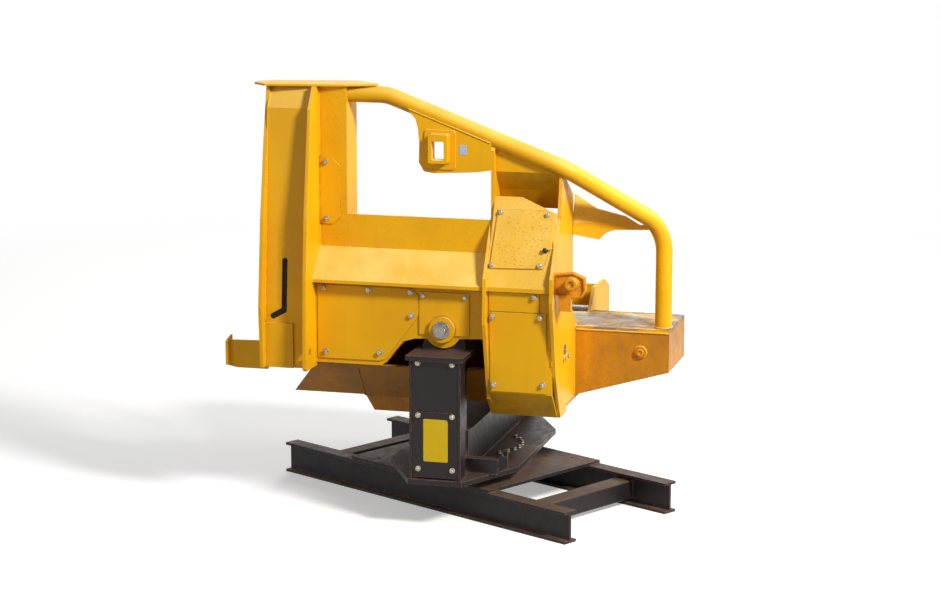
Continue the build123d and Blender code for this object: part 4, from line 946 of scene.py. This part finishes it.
KNIFE_TURN = math.radians(-26)
BLADE_AT = (500, 400)
BLADE_WELD_R = 319
HUB_WELD_R = 76
ARM_LEFT = 20
ARM_RIGHT = 58
LONG_HUB = 200
NIPPLE_R = 74
KNIVES = (
    ("knife_b_near", -1, (-771, -642), -771),
    ("knife_b_far", 1, (-771, -642), -700),
    ("knife_a_near", -1, (292, 652), 342),
    ("knife_a_far", 1, (292, 652), 410),
)
NIPPLE_TURN = math.radians(215)
RING_BORE = circle(40.5, 40)
RING_EDGE = circle(64, 40)
THRUST_RING = (
    (RING_BORE, 0), (RING_EDGE, 0), (circle(66, 40), 1.5), (RING_EDGE, 5), (circle(44, 40), 6), (RING_BORE, 4)
)


def knife_along(side):
    """Direction of the arm of a knife at rest, on the near (-1) or far (1) shaft."""
    return Vector((0, -side * math.cos(KNIFE_TURN), math.sin(KNIFE_TURN)))


def in_knife(side, x, u, v):
    """A point at an X in a knife's own plane, along its arm and across it from the shaft."""
    place = seat((x, side * SHAFT_Y, SHAFT_Z), RIGHT * -side, knife_along(side))
    return place @ Vector((u, v, 0))


def knife_arc(side, x, centre, radius, start, end):
    """Points round an arc in a knife's own plane, its angles in degrees."""
    count = max(6, round(abs(end - start) * radius / 700))
    points = []
    for i in range(count + 1):
        angle = math.radians(start + (end - start) * i / count)
        u = centre[0] + radius * math.cos(angle)
        v = centre[1] + radius * math.sin(angle)
        points.append(tuple(in_knife(side, x, u, v)))
    return points


for name, side, (hub_left, hub_right), blade_x in KNIVES:
    arm_left = blade_x + ARM_LEFT - 1
    arm_right = blade_x + ARM_RIGHT + 1
    welds(
        f"{name}_welds",
        name,
        [
            knife_arc(side, arm_left, BLADE_AT, BLADE_WELD_R, 103, 203),
            knife_arc(side, arm_left, (0, 0), HUB_WELD_R, 4, 129),
            knife_arc(side, arm_right, (0, 0), HUB_WELD_R, 4, 129),
        ],
        radius=7.0,
        material=knife_steel,
    )
    hub = bmesh.new()
    for x, out in ((hub_left, LEFT), (hub_right, RIGHT)):
        add_loop(hub, seat((x, side * SHAFT_Y, SHAFT_Z), out, knife_along(side)), THRUST_RING)
    nipple_x = blade_x + 170 if hub_right - hub_left > LONG_HUB else (hub_left + hub_right) / 2
    middle = in_knife(side, nipple_x, 0, 0)
    out_way = in_knife(side, nipple_x, math.cos(NIPPLE_TURN), math.sin(NIPPLE_TURN)) - middle
    add_nipple(hub, middle + out_way * NIPPLE_R, out_way)
    piece(f"{name}_rings", hub, bare, name)


# Camera, light and floor


def aim(thing, target):
    """Turns a lamp or the camera to a point."""
    thing.rotation_euler = (Vector(target) - thing.location).to_track_quat("-Z", "Y").to_euler()


camera_data = bpy.data.cameras.new("camera")
camera_data.sensor_width = SENSOR
camera_data.lens = FOCAL_PX * SENSOR / PHOTO_WIDTH
camera = bpy.data.objects.new("camera", camera_data)
camera.location = CAMERA_AT
aim(camera, CAMERA_TARGET)
bpy.context.scene.collection.objects.link(camera)
bpy.context.scene.camera = camera


def softbox(name, at, target, size, watts, tint=(1.0, 1.0, 1.0)):
    """A round area lamp aimed at a point."""
    data = bpy.data.lights.new(name, "AREA")
    data.shape = "DISK"
    data.size = size
    data.energy = watts
    data.color = tint
    light = bpy.data.objects.new(name, data)
    light.location = at
    aim(light, target)
    bpy.context.scene.collection.objects.link(light)


softbox("key", (8.0, -5.4, 7.9), (0, -0.2, 1.2), 2.0, 1500, (1.0, 0.98, 0.94))
softbox("fill", (-8.0, -10.0, 4.5), (0, 0, 1.2), 5.0, 170)
softbox("side", (9.5, 1.0, 4.2), (0, 0, 1.2), 4.0, 300, (1.0, 0.98, 0.94))
softbox("back", (-2.0, 9.5, 7.0), (0, 0, 1.3), 5.0, 420)


def seen_rays(tree):
    """1 for camera, glossy and transmission rays, 0 for the rays that light the object."""
    path = tree.nodes.new("ShaderNodeLightPath")
    share = path.outputs["Is Camera Ray"]
    for kind in ("Is Glossy Ray", "Is Transmission Ray"):
        node = tree.nodes.new("ShaderNodeMath")
        node.operation = "MAXIMUM"
        tree.links.new(share, node.inputs[0])
        tree.links.new(path.outputs[kind], node.inputs[1])
        share = node.outputs["Value"]
    return share


def mixed(tree, share, one, two):
    """The first shader where share is 0, and the second where it is 1."""
    node = tree.nodes.new("ShaderNodeMixShader")
    tree.links.new(share, node.inputs["Fac"])
    tree.links.new(one, node.inputs[1])
    tree.links.new(two, node.inputs[2])
    return node.outputs["Shader"]


def filled(tree, kind, colour, strength=None):
    """A shader node of one colour."""
    node = tree.nodes.new(kind)
    node.inputs["Color"].default_value = colour
    if strength is not None:
        node.inputs["Strength"].default_value = strength
    return node.outputs[0]


world = bpy.data.worlds.new("studio")
world.use_nodes = True
bpy.context.scene.world = world
sky = world.node_tree
sky.nodes.clear()
sky_out = sky.nodes.new("ShaderNodeOutputWorld")
ambient = filled(sky, "ShaderNodeBackground", (0.90, 0.95, 1.0, 1.0), 0.24)
white = filled(sky, "ShaderNodeBackground", (1.0, 1.0, 1.0, 1.0), 1.0)
sky.links.new(mixed(sky, seen_rays(sky), ambient, white), sky_out.inputs["Surface"])

FLOOR_R = 60.0
FLOOR_NEAR = 4.5
FLOOR_FAR = 11.0
floor_mesh = bmesh.new()
bmesh.ops.create_circle(floor_mesh, cap_ends=True, segments=96, radius=FLOOR_R)
floor_data = bpy.data.meshes.new("floor")
floor_mesh.to_mesh(floor_data)
floor_mesh.free()
floor = bpy.data.objects.new("floor", floor_data)
bpy.context.scene.collection.objects.link(floor)
ground = Graph("floor_pale")
distance = ground.tree.nodes.new("ShaderNodeVectorMath")
distance.operation = "LENGTH"
ground.join(ground.place, distance.inputs[0])
fade = ground.span(distance.outputs["Value"], FLOOR_NEAR, FLOOR_FAR)
lit = filled(ground.tree, "ShaderNodeBsdfDiffuse", linear(236, 235, 232))
glow = filled(ground.tree, "ShaderNodeEmission", (1.0, 0.995, 0.985, 1.0), 0.36)
both = ground.tree.nodes.new("ShaderNodeAddShader")
ground.join(lit, both.inputs[0])
ground.join(glow, both.inputs[1])
far_white = filled(ground.tree, "ShaderNodeEmission", (1.0, 1.0, 1.0, 1.0), 1.0)
shown = mixed(ground.tree, fade, both.outputs["Shader"], far_white)
dim = filled(ground.tree, "ShaderNodeBsdfDiffuse", linear(150, 146, 140))
ground.join(mixed(ground.tree, seen_rays(ground.tree), dim, shown), ground.out.inputs["Surface"])
floor_data.materials.append(ground.material)

bpy.context.scene.view_settings.view_transform = "Standard"
